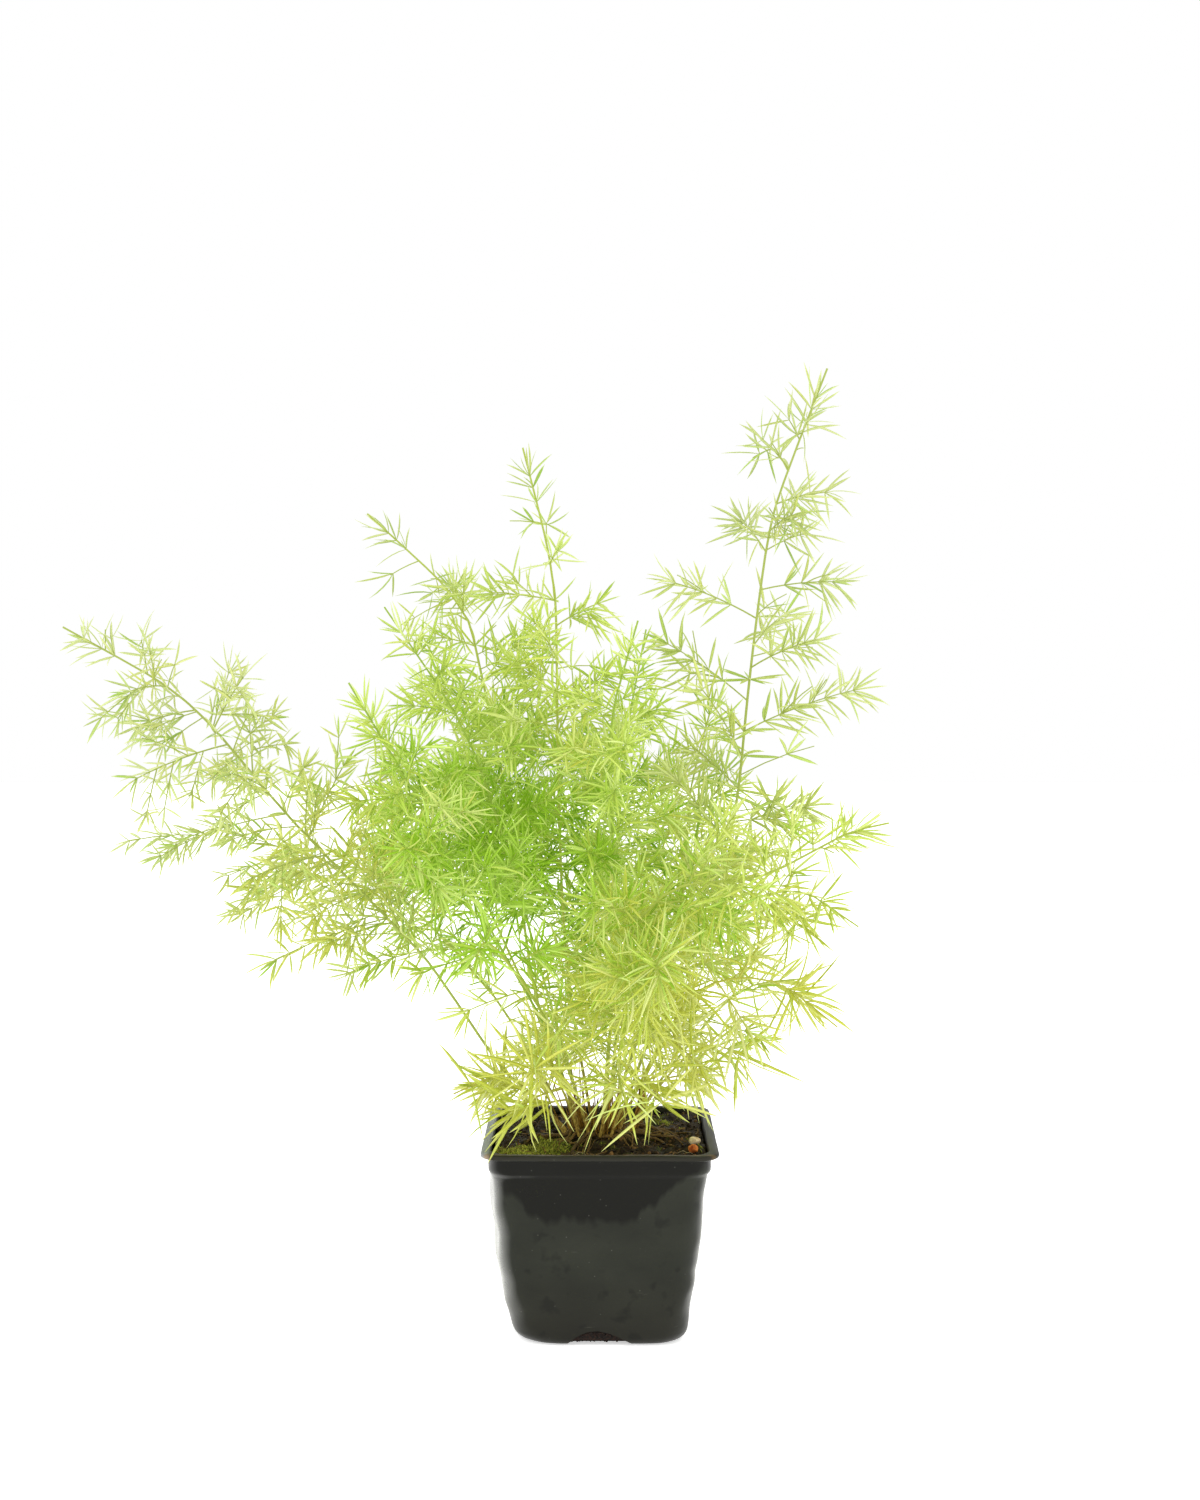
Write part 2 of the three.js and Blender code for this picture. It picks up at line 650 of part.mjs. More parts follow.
// The bare part of a stem: a station wherever it bends, and one where it ends
function bareStations(shoot, line, until, extra) {
  return [0, ...line.at.slice(1).filter((at) => at < until - 3), until].map((at) => {
    const [before, after] = [walk(line, at), walk(line, at + 0.01)];
    const spot = framed(before.point, before.ahead.clone().add(after.ahead).normalize(), line.side);
    return { spot, turned: 0, radius: stemRadius(shoot, line, at) + extra, width: 0, sprouts: [] };
  });
}

function stemRadius(shoot, line, at) {
  return shoot.radius * (1 - (growth.taper * at) / line.length);
}

function solidFrom({ stations, tip }) {
  const { spot, turned, radius } = stations[0];
  const skin = { points: ringAround(spot, radius, 3, turned), faces: [[2, 1, 0]] };
  growSkin(skin, [0, 1, 2], { stations: stations.slice(1), tip });
  return solidOf(geometryOf(skin.points, skin.faces));
}

function makeShoot(f) {
  const { shoot, line, forks, leader } = plants[f];
  const nodes = forks.map(({ spot, at, turned, branches }) => ({
    spot, turned, width: growth.forkWidth, radius: stemRadius(shoot, line, at), sprouts: branches,
  }));
  const bare = bareStations(shoot, line, forks[0].at - 4, 0);
  return solidFrom({ stations: [...bare, ...nodes, ...leader.stations], tip: leader.tip });
}

// The hole in the soil that a stem stands in: it follows the stem to well above the soil
function makeBore(f) {
  const { shoot, line } = plants[f];
  const stations = bareStations(shoot, line, growth.depthInSoil + 24, 2.2 * clearance);
  const low = stations[0].spot;
  low.point.addScaledVector(low.ahead, -clearance);
  const top = stations[stations.length - 1].spot;
  return solidFrom({ stations, tip: top.point.clone().addScaledVector(top.ahead, 1) });
}

// Stems grow first, then branches, then needles, so that each keeps clear of all that was there before
const plants = shoots.map((shoot, f) => {
  const line = stemLine(shoot);
  addLineRods(line, shoot.radius, { shoot: f, branch: -1 });
  return { shoot, line };
});
plants.forEach((plant, f) => (plant.forks = growForks(plant.shoot, f, plant.line)));
plants.forEach((plant, f) => {
  plant.leader = growWhorls(plant.shoot, f, leaderOf(plant.shoot, plant.line));
  const leafed = (branch) => ({ slot: 2 * branch.side, ...growWhorls(plant.shoot, f, branch) });
  for (const fork of plant.forks) fork.branches = fork.branches.map(leafed);
});

function stubSolid({ foot, top, radius }, extra) {
  const [a, b] = [new THREE.Vector3(...foot), new THREE.Vector3(...top)];
  const ahead = b.clone().sub(a).normalize();
  a.addScaledVector(ahead, -8 - extra);
  const ringAt = (p, r) => ringAround(framed(p, ahead, new THREE.Vector3(1, 0, 0)), r + extra, 6);
  return solidOf(skinOf([ringAt(a, radius), ringAt(b, radius * 0.85)]));
}

function grainSolid({ at, size }, extra) {
  const lump = new THREE.DodecahedronGeometry(1);
  return solidOf(lump.scale(...size.map((s) => s + extra)).translate(...at));
}

const assembly = new THREE.Group();
assembly.add(meshOf(makePot(), "pot", colours.pot, 0.45));

let ground = makeSoil();
for (const f of shoots.keys()) ground = ground.subtract(makeBore(f));
for (const stub of stubs) ground = ground.subtract(stubSolid(stub, clearance));
for (const grain of grains) ground = ground.subtract(grainSolid(grain, clearance));
assembly.add(meshOf(ground, "soil", colours.soil, 0.95));

for (const [f, { name, colour }] of shoots.entries())
  assembly.add(meshOf(makeShoot(f), name, colours[colour], 0.5));
for (const stub of stubs) assembly.add(meshOf(stubSolid(stub, 0), stub.name, colours.stub, 0.9));
for (const grain of grains) assembly.add(meshOf(grainSolid(grain, 0), grain.name, grain.colour, 0.85));

export default assembly;
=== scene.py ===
import math

import bmesh
import bpy
import numpy as np
from mathutils import Matrix, Vector, noise


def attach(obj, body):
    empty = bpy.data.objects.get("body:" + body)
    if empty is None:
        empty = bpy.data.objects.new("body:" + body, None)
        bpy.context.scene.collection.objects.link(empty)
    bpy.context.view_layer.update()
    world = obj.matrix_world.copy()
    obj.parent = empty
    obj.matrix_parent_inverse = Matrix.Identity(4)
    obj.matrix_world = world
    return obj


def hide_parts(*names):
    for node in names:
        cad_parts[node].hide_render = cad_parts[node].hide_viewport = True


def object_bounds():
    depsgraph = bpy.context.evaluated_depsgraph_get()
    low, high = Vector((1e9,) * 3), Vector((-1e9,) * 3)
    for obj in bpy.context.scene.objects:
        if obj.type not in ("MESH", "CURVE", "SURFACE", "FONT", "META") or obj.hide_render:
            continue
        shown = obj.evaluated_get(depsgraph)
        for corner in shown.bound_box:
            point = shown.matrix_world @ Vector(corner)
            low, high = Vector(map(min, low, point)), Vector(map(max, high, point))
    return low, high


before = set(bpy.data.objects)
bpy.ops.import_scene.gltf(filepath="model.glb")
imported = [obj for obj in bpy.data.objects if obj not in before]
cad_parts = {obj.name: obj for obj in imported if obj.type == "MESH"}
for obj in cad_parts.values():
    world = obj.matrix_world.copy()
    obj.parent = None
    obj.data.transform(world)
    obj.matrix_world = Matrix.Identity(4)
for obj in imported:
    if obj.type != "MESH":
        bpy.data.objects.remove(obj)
cadBox = [[float(v) for v in corner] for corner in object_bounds()]
scene = bpy.context.scene
mm = 0.001
noise.seed_set(5)  # noise_vector takes its offsets from this
print("frame loaded, box", cadBox)


# helpers for node trees

class wire:  # an output of a node; arithmetic with it adds the nodes that work it out
    def __init__(self, tree, socket):
        self.tree, self.socket = tree, socket

    def to(self, node, name):
        self.tree.links.new(self.socket, node.inputs[name])

    def maths(self, operation, other=0.0):
        return put(self.tree, "ShaderNodeMath", {0: self, 1: other}, operation=operation)

    def ramp(self, low, high, first=0.0, last=1.0):  # clamped, from first at low to last at high
        return put(self.tree, "ShaderNodeMapRange", {0: self, 1: low, 2: high, 3: first, 4: last})

    def between(self, a, b):  # from one colour at 0 to another at 1, each a wire or an sRGB code
        return blend(self.tree, self, a, b)

    __abs__ = lambda self: self.maths("ABSOLUTE")
    __add__ = lambda self, other: self.maths("ADD", other)
    __sub__ = lambda self, other: self.maths("SUBTRACT", other)
    __mul__ = lambda self, other: self.maths("MULTIPLY", other)
    __pow__ = lambda self, other: self.maths("POWER", other)
    __gt__ = lambda self, other: self.maths("GREATER_THAN", other)
    __lt__ = lambda self, other: self.maths("LESS_THAN", other)


def newNode(tree, kind, values=None, **settings):
    node = tree.nodes.new(kind)
    for name, value in settings.items():
        setattr(node, name, value)
    for name, value in (values or {}).items():
        if isinstance(value, wire):
            value.to(node, name)
        else:
            node.inputs[name].default_value = value
    return node


def put(tree, kind, values=None, output=0, **settings):  # one output of a new node
    return wire(tree, newNode(tree, kind, values, **settings).outputs[output])


def outputsOf(tree, kind, values=None, **settings):
    return [wire(tree, socket) for socket in newNode(tree, kind, values, **settings).outputs]


def partsOf(vector):  # its x, y and z
    return outputsOf(vector.tree, "ShaderNodeSeparateXYZ", {0: vector})


def rgb(code):  # an sRGB colour as the linear one that sockets take
    parts = [int(code[i:i + 2], 16) / 255 for i in (0, 2, 4)]
    return (*[p / 12.92 if p <= 0.04045 else ((p + 0.055) / 1.055) ** 2.4 for p in parts], 1.0)


def blend(tree, share, a, b):
    a, b = (rgb(v) if isinstance(v, str) else v for v in (a, b))
    return put(tree, "ShaderNodeMix", {0: share, 6: a, 7: b}, 2, data_type="RGBA")


def layered(tone, *layers):  # each layer: how much of it covers what lies under it, and its colour
    for share, colour in layers:
        tone = share.between(tone, colour)
    return tone


def newTree(name, kind, inputs, outputs):  # an input is named with its value, or with its kind of socket
    tree = bpy.data.node_groups.new(name, kind)
    kinds = {float: "Float", int: "Int", tuple: "Vector"}
    for label, value in inputs.items():
        given = value if isinstance(value, str) else kinds[type(value)]
        socket = tree.interface.new_socket(label, in_out="INPUT", socket_type="NodeSocket" + given)
        if given != value:
            socket.default_value = value
    for label, given in outputs.items():
        tree.interface.new_socket(label, in_out="OUTPUT", socket_type="NodeSocket" + given)
    sources = newNode(tree, "NodeGroupInput").outputs
    return tree, {label: wire(tree, sources[label]) for label in inputs}, newNode(tree, "NodeGroupOutput")


def newMaterial(name, **fixed):
    material = bpy.data.materials.new(name)
    material.use_nodes = True
    material.cycles.emission_sampling = "NONE"  # faint painted glow of thin leaves and moss, or the even glow of the pale paper floor; neither is a lamp
    shader = material.node_tree.nodes["Principled BSDF"]
    for label, value in fixed.items():
        shader.inputs[label.replace("_", " ")].default_value = value
    return material, material.node_tree, shader


def bumped(shader, height, strength, depth):
    bump = {"Height": height, "Strength": strength, "Distance": depth}
    put(height.tree, "ShaderNodeBump", bump).to(shader, "Normal")


# helpers for meshes: all lengths come in millimetres and go out in metres

def meshFrom(name, points, faces, edges=(), values=None):
    mesh = bpy.data.meshes.new(name)
    mesh.from_pydata([tuple(p) for p in np.asarray(points, float) * mm], list(edges), list(faces))
    for label, rows in (values or {}).items():
        rows = np.asarray(rows, np.float32)
        vector = rows.ndim == 2
        layer = mesh.attributes.new(label, "FLOAT_VECTOR" if vector else "FLOAT", "POINT")
        layer.data.foreach_set("vector" if vector else "value", rows.ravel())
    mesh.update()
    return mesh


def pieceFrom(name, mesh, material=None, smooth=True):
    piece = bpy.data.objects.new(name, mesh)
    scene.collection.objects.link(piece)
    if material:
        mesh.materials.clear()
        mesh.materials.append(material)
    if smooth:
        mesh.shade_smooth()
    return piece


def settle(piece):  # what the modifiers make becomes the piece's plain mesh
    made = piece.evaluated_get(bpy.context.evaluated_depsgraph_get())
    mesh = bpy.data.meshes.new_from_object(made)
    piece.modifiers.clear()
    piece.data = mesh
    return piece


def grow(piece, tree, sizes):  # runs a tree of geometry nodes on a piece with these sizes
    rule = piece.modifiers.new("rule", "NODES")
    rule.node_group = tree
    for socket in tree.interface.items_tree:
        if socket.in_out == "INPUT" and socket.name in sizes:
            rule[socket.identifier] = sizes[socket.name]
    return settle(piece)


def meshOf(body, name):  # a bmesh becomes a mesh
    mesh = bpy.data.meshes.new(name)
    body.to_mesh(mesh)
    body.free()
    return mesh


def ringed(rings):  # one closed skin through rings of equal count
    count = len(rings[0])
    points = [p for ring in rings for p in ring]
    faces = []
    for k in range(len(rings) - 1):
        for i in range(count):
            a, b = k * count + i, k * count + (i + 1) % count
            faces.append((a, b, b + count, a + count))
    for ring, turn in ((0, -1), (len(rings) - 1, 1)):
        middle = len(points)
        points.append(np.mean(rings[ring], axis=0))
        for i in range(count):
            a, b = ring * count + i, ring * count + (i + 1) % count
            faces.append((a, b, middle)[::turn])
    return points, faces


def keepPiece(piece, slot, *nodes):
    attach(piece, "root")
    if nodes:
        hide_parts(*nodes)
    print(f"{piece.name}: {len(piece.data.loops) - 2 * len(piece.data.polygons)} triangles")


# camera, floor and light

studio = {
    "camera": (0, -0.9, 0.289), "pitch": 87.54, "lens": 49.75,
    "sky": 1.0, "floorGlow": 0.55, "floorHalf": 4000, "floorHeight": -0.2, "aim": (0, 0, 0.2),
    "lamps": [  # place, size and power of each soft box
        ((-0.9, -1.0, 1.3), 1.1, 9.0),
        ((1.1, -0.5, 1.0), 0.9, 4.0),
        ((0.2, 1.1, 1.2), 1.2, 7.0),
    ],
}


def stand(name, data, spot, turn):
    holder = bpy.data.objects.new(name, data)
    holder.location, holder.rotation_euler = spot, turn
    scene.collection.objects.link(holder)
    return holder


def makeStudio():
    scene.view_settings.view_transform = "Standard"
    lens = bpy.data.cameras.new("view")
    lens.lens, lens.sensor_width = studio["lens"], 36
    scene.camera = stand("view", lens, studio["camera"], (math.radians(studio["pitch"]), 0, 0))
    for i, (spot, size, power) in enumerate(studio["lamps"]):
        lamp = bpy.data.lights.new(f"softbox_{i}", "AREA")
        lamp.size, lamp.energy = size, power
        stand(f"softbox_{i}", lamp, spot,
              (Vector(studio["aim"]) - Vector(spot)).to_track_quat("-Z", "Y").to_euler())
    scene.world = bpy.data.worlds.new("sky")
    scene.world.use_nodes = True
    sky = scene.world.node_tree.nodes["Background"].inputs
    sky["Color"].default_value, sky["Strength"].default_value = (1, 1, 1, 1), studio["sky"]
    paper = newMaterial("palePaper", Base_Color=rgb("fbfbfa"), Roughness=0.9, Specular_IOR_Level=0.1,
                        Emission_Color=(1, 1, 1, 1), Emission_Strength=studio["floorGlow"])[0]
    w, z = studio["floorHalf"], studio["floorHeight"]
    corners = [(-w, -w, z), (w, -w, z), (w, w, z), (-w, w, z)]
    pieceFrom("floor", meshFrom("floor", corners, [(0, 1, 2, 3)]), paper)
    print("studio ready")


makeStudio()


# shared shader groups

def objectPlace(tree):
    return put(tree, "ShaderNodeTexCoord", output="Object")


def told(tree, name):
    return put(tree, "ShaderNodeAttribute", output="Fac", attribute_name=name)


def makeMottle():  # cloudy mask, stretched as asked
    tree, given, out = newTree("mottle", "ShaderNodeTree",
                               {"Scale": 100.0, "Detail": 3.0, "Low": 0.4, "High": 0.6, "Stretch": (1, 1, 1)},
                               {"Mask": "Float", "Height": "Float"})
    place = put(tree, "ShaderNodeVectorMath", {0: objectPlace(tree), 1: given["Stretch"]},
                operation="MULTIPLY")
    cloud = put(tree, "ShaderNodeTexNoise",
                {"Vector": place, "Scale": given["Scale"], "Detail": given["Detail"]})
    cloud.ramp(given["Low"], given["High"]).to(out, "Mask")
    cloud.to(out, "Height")
    return tree


def makeSpecks():  # small round marks, in a share of the cells
    tree, given, out = newTree("specks", "ShaderNodeTree", {"Scale": 300.0, "Size": 0.2, "Share": 0.2},
                               {"Mask": "Float"})
    distance, colour = outputsOf(tree, "ShaderNodeTexVoronoi",
                                 {"Vector": objectPlace(tree), "Scale": given["Scale"]})[:2]
    few = put(tree, "ShaderNodeSeparateColor", {0: colour}) < given["Share"]
    (distance.ramp(given["Size"], 0.0) * few).to(out, "Mask")
    return tree


mottleGroup, specksGroup = makeMottle(), makeSpecks()


def mottle(tree, scale, detail, low, high, stretch=(1, 1, 1)):  # its mask and its height
    values = {"Scale": scale, "Detail": detail, "Low": low, "High": high, "Stretch": stretch}
    return outputsOf(tree, "ShaderNodeGroup", values, node_tree=mottleGroup)


def specks(tree, scale, size, share):
    return put(tree, "ShaderNodeGroup", {"Scale": scale, "Size": size, "Share": share},
               node_tree=specksGroup)


# shared parts of geometry trees

def newRule(name, inputs):
    return newTree(name, "GeometryNodeTree", {"Geometry": "Geometry", **inputs}, {"Geometry": "Geometry"})


def named(tree, name, kind="FLOAT"):
    return put(tree, "GeometryNodeInputNamedAttribute", {"Name": name}, "Attribute", data_type=kind)


def stored(geometry, name, value, domain):
    return put(geometry.tree, "GeometryNodeStoreNamedAttribute",
               {"Geometry": geometry, "Name": name, "Value": value}, data_type="FLOAT", domain=domain)


def parted(geometry, where):  # what is chosen, and the rest
    return outputsOf(geometry.tree, "GeometryNodeSeparateGeometry",
                     {"Geometry": geometry, "Selection": where}, domain="POINT")


def joined(*parts):
    both = newNode(parts[0].tree, "GeometryNodeJoinGeometry")
    for part in parts:
        part.to(both, 0)
    return wire(parts[0].tree, both.outputs[0])


def realized(geometry, **moves):  # instances made real, and moved by an offset
    real = put(geometry.tree, "GeometryNodeRealizeInstances", {0: geometry})
    return put(geometry.tree, "GeometryNodeSetPosition", {"Geometry": real, **moves}) if moves else real


def dressed(geometry, material):
    return put(geometry.tree, "GeometryNodeSetMaterial", {"Geometry": geometry, "Material": material})


def scaled(vector, size):
    return put(vector.tree, "ShaderNodeVectorMath", {0: vector, "Scale": size}, operation="SCALE")


def randomVector(tree, low, high, seed):
    return put(tree, "FunctionNodeRandomValue", {0: low, 1: high, "Seed": seed},
               data_type="FLOAT_VECTOR")


def randomShare(tree, seed, low=0.0, high=1.0):
    return put(tree, "FunctionNodeRandomValue", {2: low, 3: high, "Seed": seed}, 1, data_type="FLOAT")


def laidOut(points, shape, turn, size):  # a copy of a shape on each point
    return put(points.tree, "GeometryNodeInstanceOnPoints",
               {"Points": points, "Instance": shape, "Rotation": turn, "Scale": size})


def spread(mesh, where, density, seed):  # points strewn over part of a surface
    return put(mesh.tree, "GeometryNodeDistributePointsOnFaces",
               {"Mesh": mesh, "Selection": where, "Density": density, "Seed": seed}, "Points")


def shaft(tree, segments, radius, rise, slim):  # three-sided, a unit long, raised, and as thick as slim says
    body = put(tree, "GeometryNodeMeshCylinder",
               {"Vertices": 3, "Side Segments": segments, "Radius": radius, "Depth": 1.0})
    x, y, z = partsOf(put(tree, "GeometryNodeInputPosition"))
    thick = slim(z)
    place = put(tree, "ShaderNodeCombineXYZ", {0: x * thick, 1: y * thick, 2: z + rise})
    return put(tree, "GeometryNodeSetPosition", {"Geometry": body, "Position": place})


# pot

potShape = {
    "cornerPoints": 13, "sidePoints": 35, "bodyRings": 44, "innerRings": 30, "sharpFrom": 38,
    "slotWidth": 29, "slotHeight": 6.6, "slotSteps": 26, "slotFront": -39.5, "slotBack": -30,
    "slotFoot": -1.5, "drainRadius": 4, "drainOffset": 18, "drainDepth": 9, "drainSides": 28,
    "outside": [  # half width, corner radius and height of each turn of the wall
        (18, 8, 0), (31.5, 10.8, 0), (33.3, 11.3, 0.08), (34.8, 11.7, 0.45), (36, 11.9, 1.2), (36.8, 12, 2.2),
        (37.4, 12, 3.4), (37.8, 12, 4.8),
        "body", (45.2, 9.5, 73), (45.5, 9.5, 73.9), (46.2, 9.5, 74.8), (46.6, 9.5, 75.6), (46.7, 9.5, 76.8),
        (46.7, 9.5, 78.4), (46.7, 9.5, 80), (46.75, 9.5, 81), (47.1, 9.5, 81.5), (48.4, 9.5, 81.65),
        (49.4, 9.5, 81.75), (49.85, 9.5, 82.1), (50, 9.5, 82.7), (49.95, 9.5, 83.3), (49.7, 9.5, 83.75),
        (49.2, 9.5, 83.97), (48.2, 9.4, 84), (46.9, 9.2, 84), (46.1, 8.8, 83.85), (45.7, 8.5, 83.3),
        (45.5, 8.3, 82), (45.4, 8.3, 79), (45.3, 8.3, 76),
    ],
    "bodyFoot": (37.9, 12, 6), "bodyRise": (7.3, -2.5, 67),
    "inside": [(44.9, 8.3, 74.6), (44, 8.3, 73.2), (36.6, 10.8, 3.2), (35.5, 10.4, 2), (18, 6, 2)],
    # wall, place along it, height, half width, half height, and how deep it goes in
    "dents": [
        ("left", 2, 60, 32, 16, -4.0), ("left", 2, 31, 30, 17, -4.3), ("left", 27, 63, 8, 2.6, 0.5),
        ("left", 24, 55, 9, 2.4, -0.4), ("left", 27, 47, 9, 2.6, 0.6), ("left", 24, 37, 10, 3, -0.5),
        ("left", 26, 27, 10, 3, 0.5), ("left", -20, 17, 16, 7, 0.8), ("left", 26, 17, 10, 3, -0.4),
        ("right", -34, 31, 12, 3, 0.5), ("right", -34, 24, 12, 2.6, -0.3), ("right", 2, 48, 30, 20, -1.0),
        ("right", -34, 14, 10, 4, 0.5), ("right", 14, 22, 20, 8, -0.7),
        ("front", -22, 13, 13, 4.2, 0.9), ("front", 30, 44, 5, 2.4, 0.35), ("front", -31, 41, 5, 1.8, 0.3),
        ("front", -2, 6.5, 15, 3.6, 1.5), ("back", 3, 6, 15, 3.6, 1.2), ("right", 0, 6, 15, 3.6, 1.1),
        ("front", 2, 40, 34, 26, 0.7), ("front", 20, 17, 16, 7, -0.35), ("back", 12, 38, 24, 12, 1.1),
        ("back", -20, 22, 14, 6, 0.7), ("back", 24, 60, 12, 6, -0.4),
    ],
    # side and height of each pressed front edge, its half height, and how deep it goes in
    "pressed": [(-1, 61, 13, 0.5), (-1, 40, 12, 0.5)],
    "footHalf": 37, "flare": 8.5, "flareHeight": 75, "sway": 1.1, "ripple": 0.22, "flangeDip": 0.45,
    "flangeSway": 0.35, "leftPinch": 0.066, "rightPinch": 0.02, "pinchHeight": 17, "mostHalf": 49.95,
}
wallSides = {"front": (0, -1), "back": (0, 1), "left": (-1, 0), "right": (1, 0)}


def squareRing(half, corner, z, cornerPoints, sidePoints):
    signs = ((1, 1), (-1, 1), (-1, -1), (1, -1), (1, 1))

    def rounded(quarter, turn):
        x, y = (sign * (half - corner) for sign in signs[quarter])
        angle = math.radians(90 * turn)
        return x + corner * math.cos(angle), y + corner * math.sin(angle), z

    ring = []
    for quarter in range(4):
        ring += [rounded(quarter, quarter + step / (cornerPoints - 1)) for step in range(cornerPoints)]
        start, goal = np.array(ring[-1]), np.array(rounded(quarter + 1, quarter + 1))
        ring += [tuple(start + (goal - start) * step / (sidePoints + 1)) for step in range(1, sidePoints + 1)]
    return ring


def smooth(value, low, high):
    share = np.clip((value - low) / (high - low), 0, 1)
    return share * share * (3 - 2 * share)


def hump(*offsets):  # 1 in the middle, and falling off with each offset
    return np.exp(-sum(offset ** 2 for offset in offsets))


def dented(points):  # pushes the thin wall about, less and less towards its rim
    shape, points = potShape, np.array(points, float)
    x, y, z = points.T
    half = shape["footHalf"] + shape["flare"] * np.clip(z / shape["flareHeight"], 0, 1)
    moved = points.copy()
    for wall, along, height, wide, high, depth in shape["dents"]:
        nx, ny = wallSides[wall]
        facing = smooth((x * nx + y * ny) / half, 0.55, 0.95)
        push = -depth * facing * hump((x * -ny + y * nx - along) / wide, (z - height) / high)
        moved[:, 0] += push * nx
        moved[:, 1] += push * ny
    for side, height, high, depth in shape["pressed"]:
        edge = smooth(np.minimum(side * x, -y) / half, 0.45, 0.9) * (y < 0)
        push = depth * edge * hump((z - height) / high)
        moved[:, 0] -= side * push
        moved[:, 1] += 0.4 * push
    corner = smooth(np.minimum(np.abs(x), np.abs(y)) / half, 0.4, 0.85)
    pinch = np.where(x < 0, shape["leftPinch"], shape["rightPinch"])
    moved[:, :2] *= (1 - pinch * corner * np.clip(1 - z / shape["pinchHeight"], 0, 1) ** 2)[:, None]
    free, flange = smooth(z, 0.5, 9) * (1 - smooth(z, 60, 76)), smooth(z, 77, 82)
    for i, p in enumerate(points):
        wander = noise.noise_vector(Vector(p) / 21 + Vector((7, 3, 1)))
        ripple = noise.noise_vector(Vector(p) / 7 + Vector((2, 9, 4)))
        out = np.array((p[0], p[1], 0)) / max(1.0, math.hypot(p[0], p[1]))
        moved[i] += out * (shape["sway"] * wander.x + shape["ripple"] * ripple.x) * free[i]
        moved[i][2] += shape["flangeDip"] * wander.y * flange[i]
        moved[i] += out * shape["flangeSway"] * wander.z * flange[i]
    outer = np.maximum(np.abs(moved[:, 0]), np.abs(moved[:, 1]))
    moved[:, :2] *= np.minimum(1, shape["mostHalf"] / np.maximum(outer, 1))[:, None]
    return moved


def potRings():
    shape, rings, steps = potShape, [], potShape["innerRings"]
    for turn in shape["outside"]:
        if turn == "body":
            rings += [[foot + rise * (k / shape["bodyRings"])
                       for foot, rise in zip(shape["bodyFoot"], shape["bodyRise"])]
                      for k in range(1, shape["bodyRings"])]
        else:
            rings.append(turn)
    edge, top, foot, *floor = shape["inside"]
    wall = [[a + (b - a) * k / steps for a, b in zip(top, foot)] for k in range(steps + 1)]
    return [*rings, edge, *wall, *floor]


def quarterTurn(turn):
    return Matrix.Rotation(turn * math.pi / 2, 3, "Z")


def slotRise(u):  # from 1 at the middle of a slot's arch to 0 at its ends
    return 1 - abs(u) ** 2.1


def potCutters():  # four round drain holes, and an arched slot at the foot of each wall
    shape, body = potShape, bmesh.new()
    radius, steps = shape["drainRadius"] * mm, shape["slotSteps"]
    for x, y in ((-1, -1), (-1, 1), (1, -1), (1, 1)):
        place = Matrix.Translation(Vector((x, y, 0)) * shape["drainOffset"] * mm)
        bmesh.ops.create_cone(body, cap_ends=True, segments=shape["drainSides"], radius1=radius,
                              radius2=radius, depth=shape["drainDepth"] * mm, matrix=place)
    for turn in range(4):
        arch = []
        for i in range(steps + 1):
            u = -1 + 2 * i / steps
            ragged = 0.4 * noise.noise(Vector((u * 4, turn * 5.0, 1)))
            rise = shape["slotHeight"] * slotRise(u + 0.12 * (1 - u * u))
            arch.append((u * shape["slotWidth"] / 2, rise - 0.3 + ragged * (1 - u * u)))
        arch = [(arch[0][0], shape["slotFoot"]), *arch, (arch[-1][0], shape["slotFoot"])]
        front, back = ([body.verts.new(quarterTurn(turn) @ Vector((x, y, z)) * mm) for x, z in arch]
                       for y in (shape["slotFront"], shape["slotBack"]))
        body.faces.new(front)
        body.faces.new(back[::-1])
        for i in range(len(arch)):
            j = (i + 1) % len(arch)
            body.faces.new((front[j], front[i], back[i], back[j]))
    bmesh.ops.recalc_face_normals(body, faces=body.faces)
    return meshOf(body, "potCutters")


potFinish = {  # its edges in metres: where each starts to show, and where it shows in full
    # the first pair: between these heights the wall turns darker towards its foot
    "footDarker": (0.034, 0.008), "darkReflection": (0.0587, 0.0617), "flange": (0.0812, 0.0822),
    "darkReflectionSag": 0.85, "flatHalf": (0.022, 0.014), "drip": 0.0034, "wander": 0.007,
    "leftEdge": (-0.0455, -0.0475), "frontEdge": (-0.044, -0.0475),
    "crustIn": (-0.0455, -0.0463), "crustOut": (-0.0486, -0.0474),
    "glossFoot": (0.005, 0.024), "glossTop": (0.0715, 0.0745), "leftGloss": (-0.03, -0.015),
    "roughness": (0.26, 0.4), "flangeRough": 0.16,
}


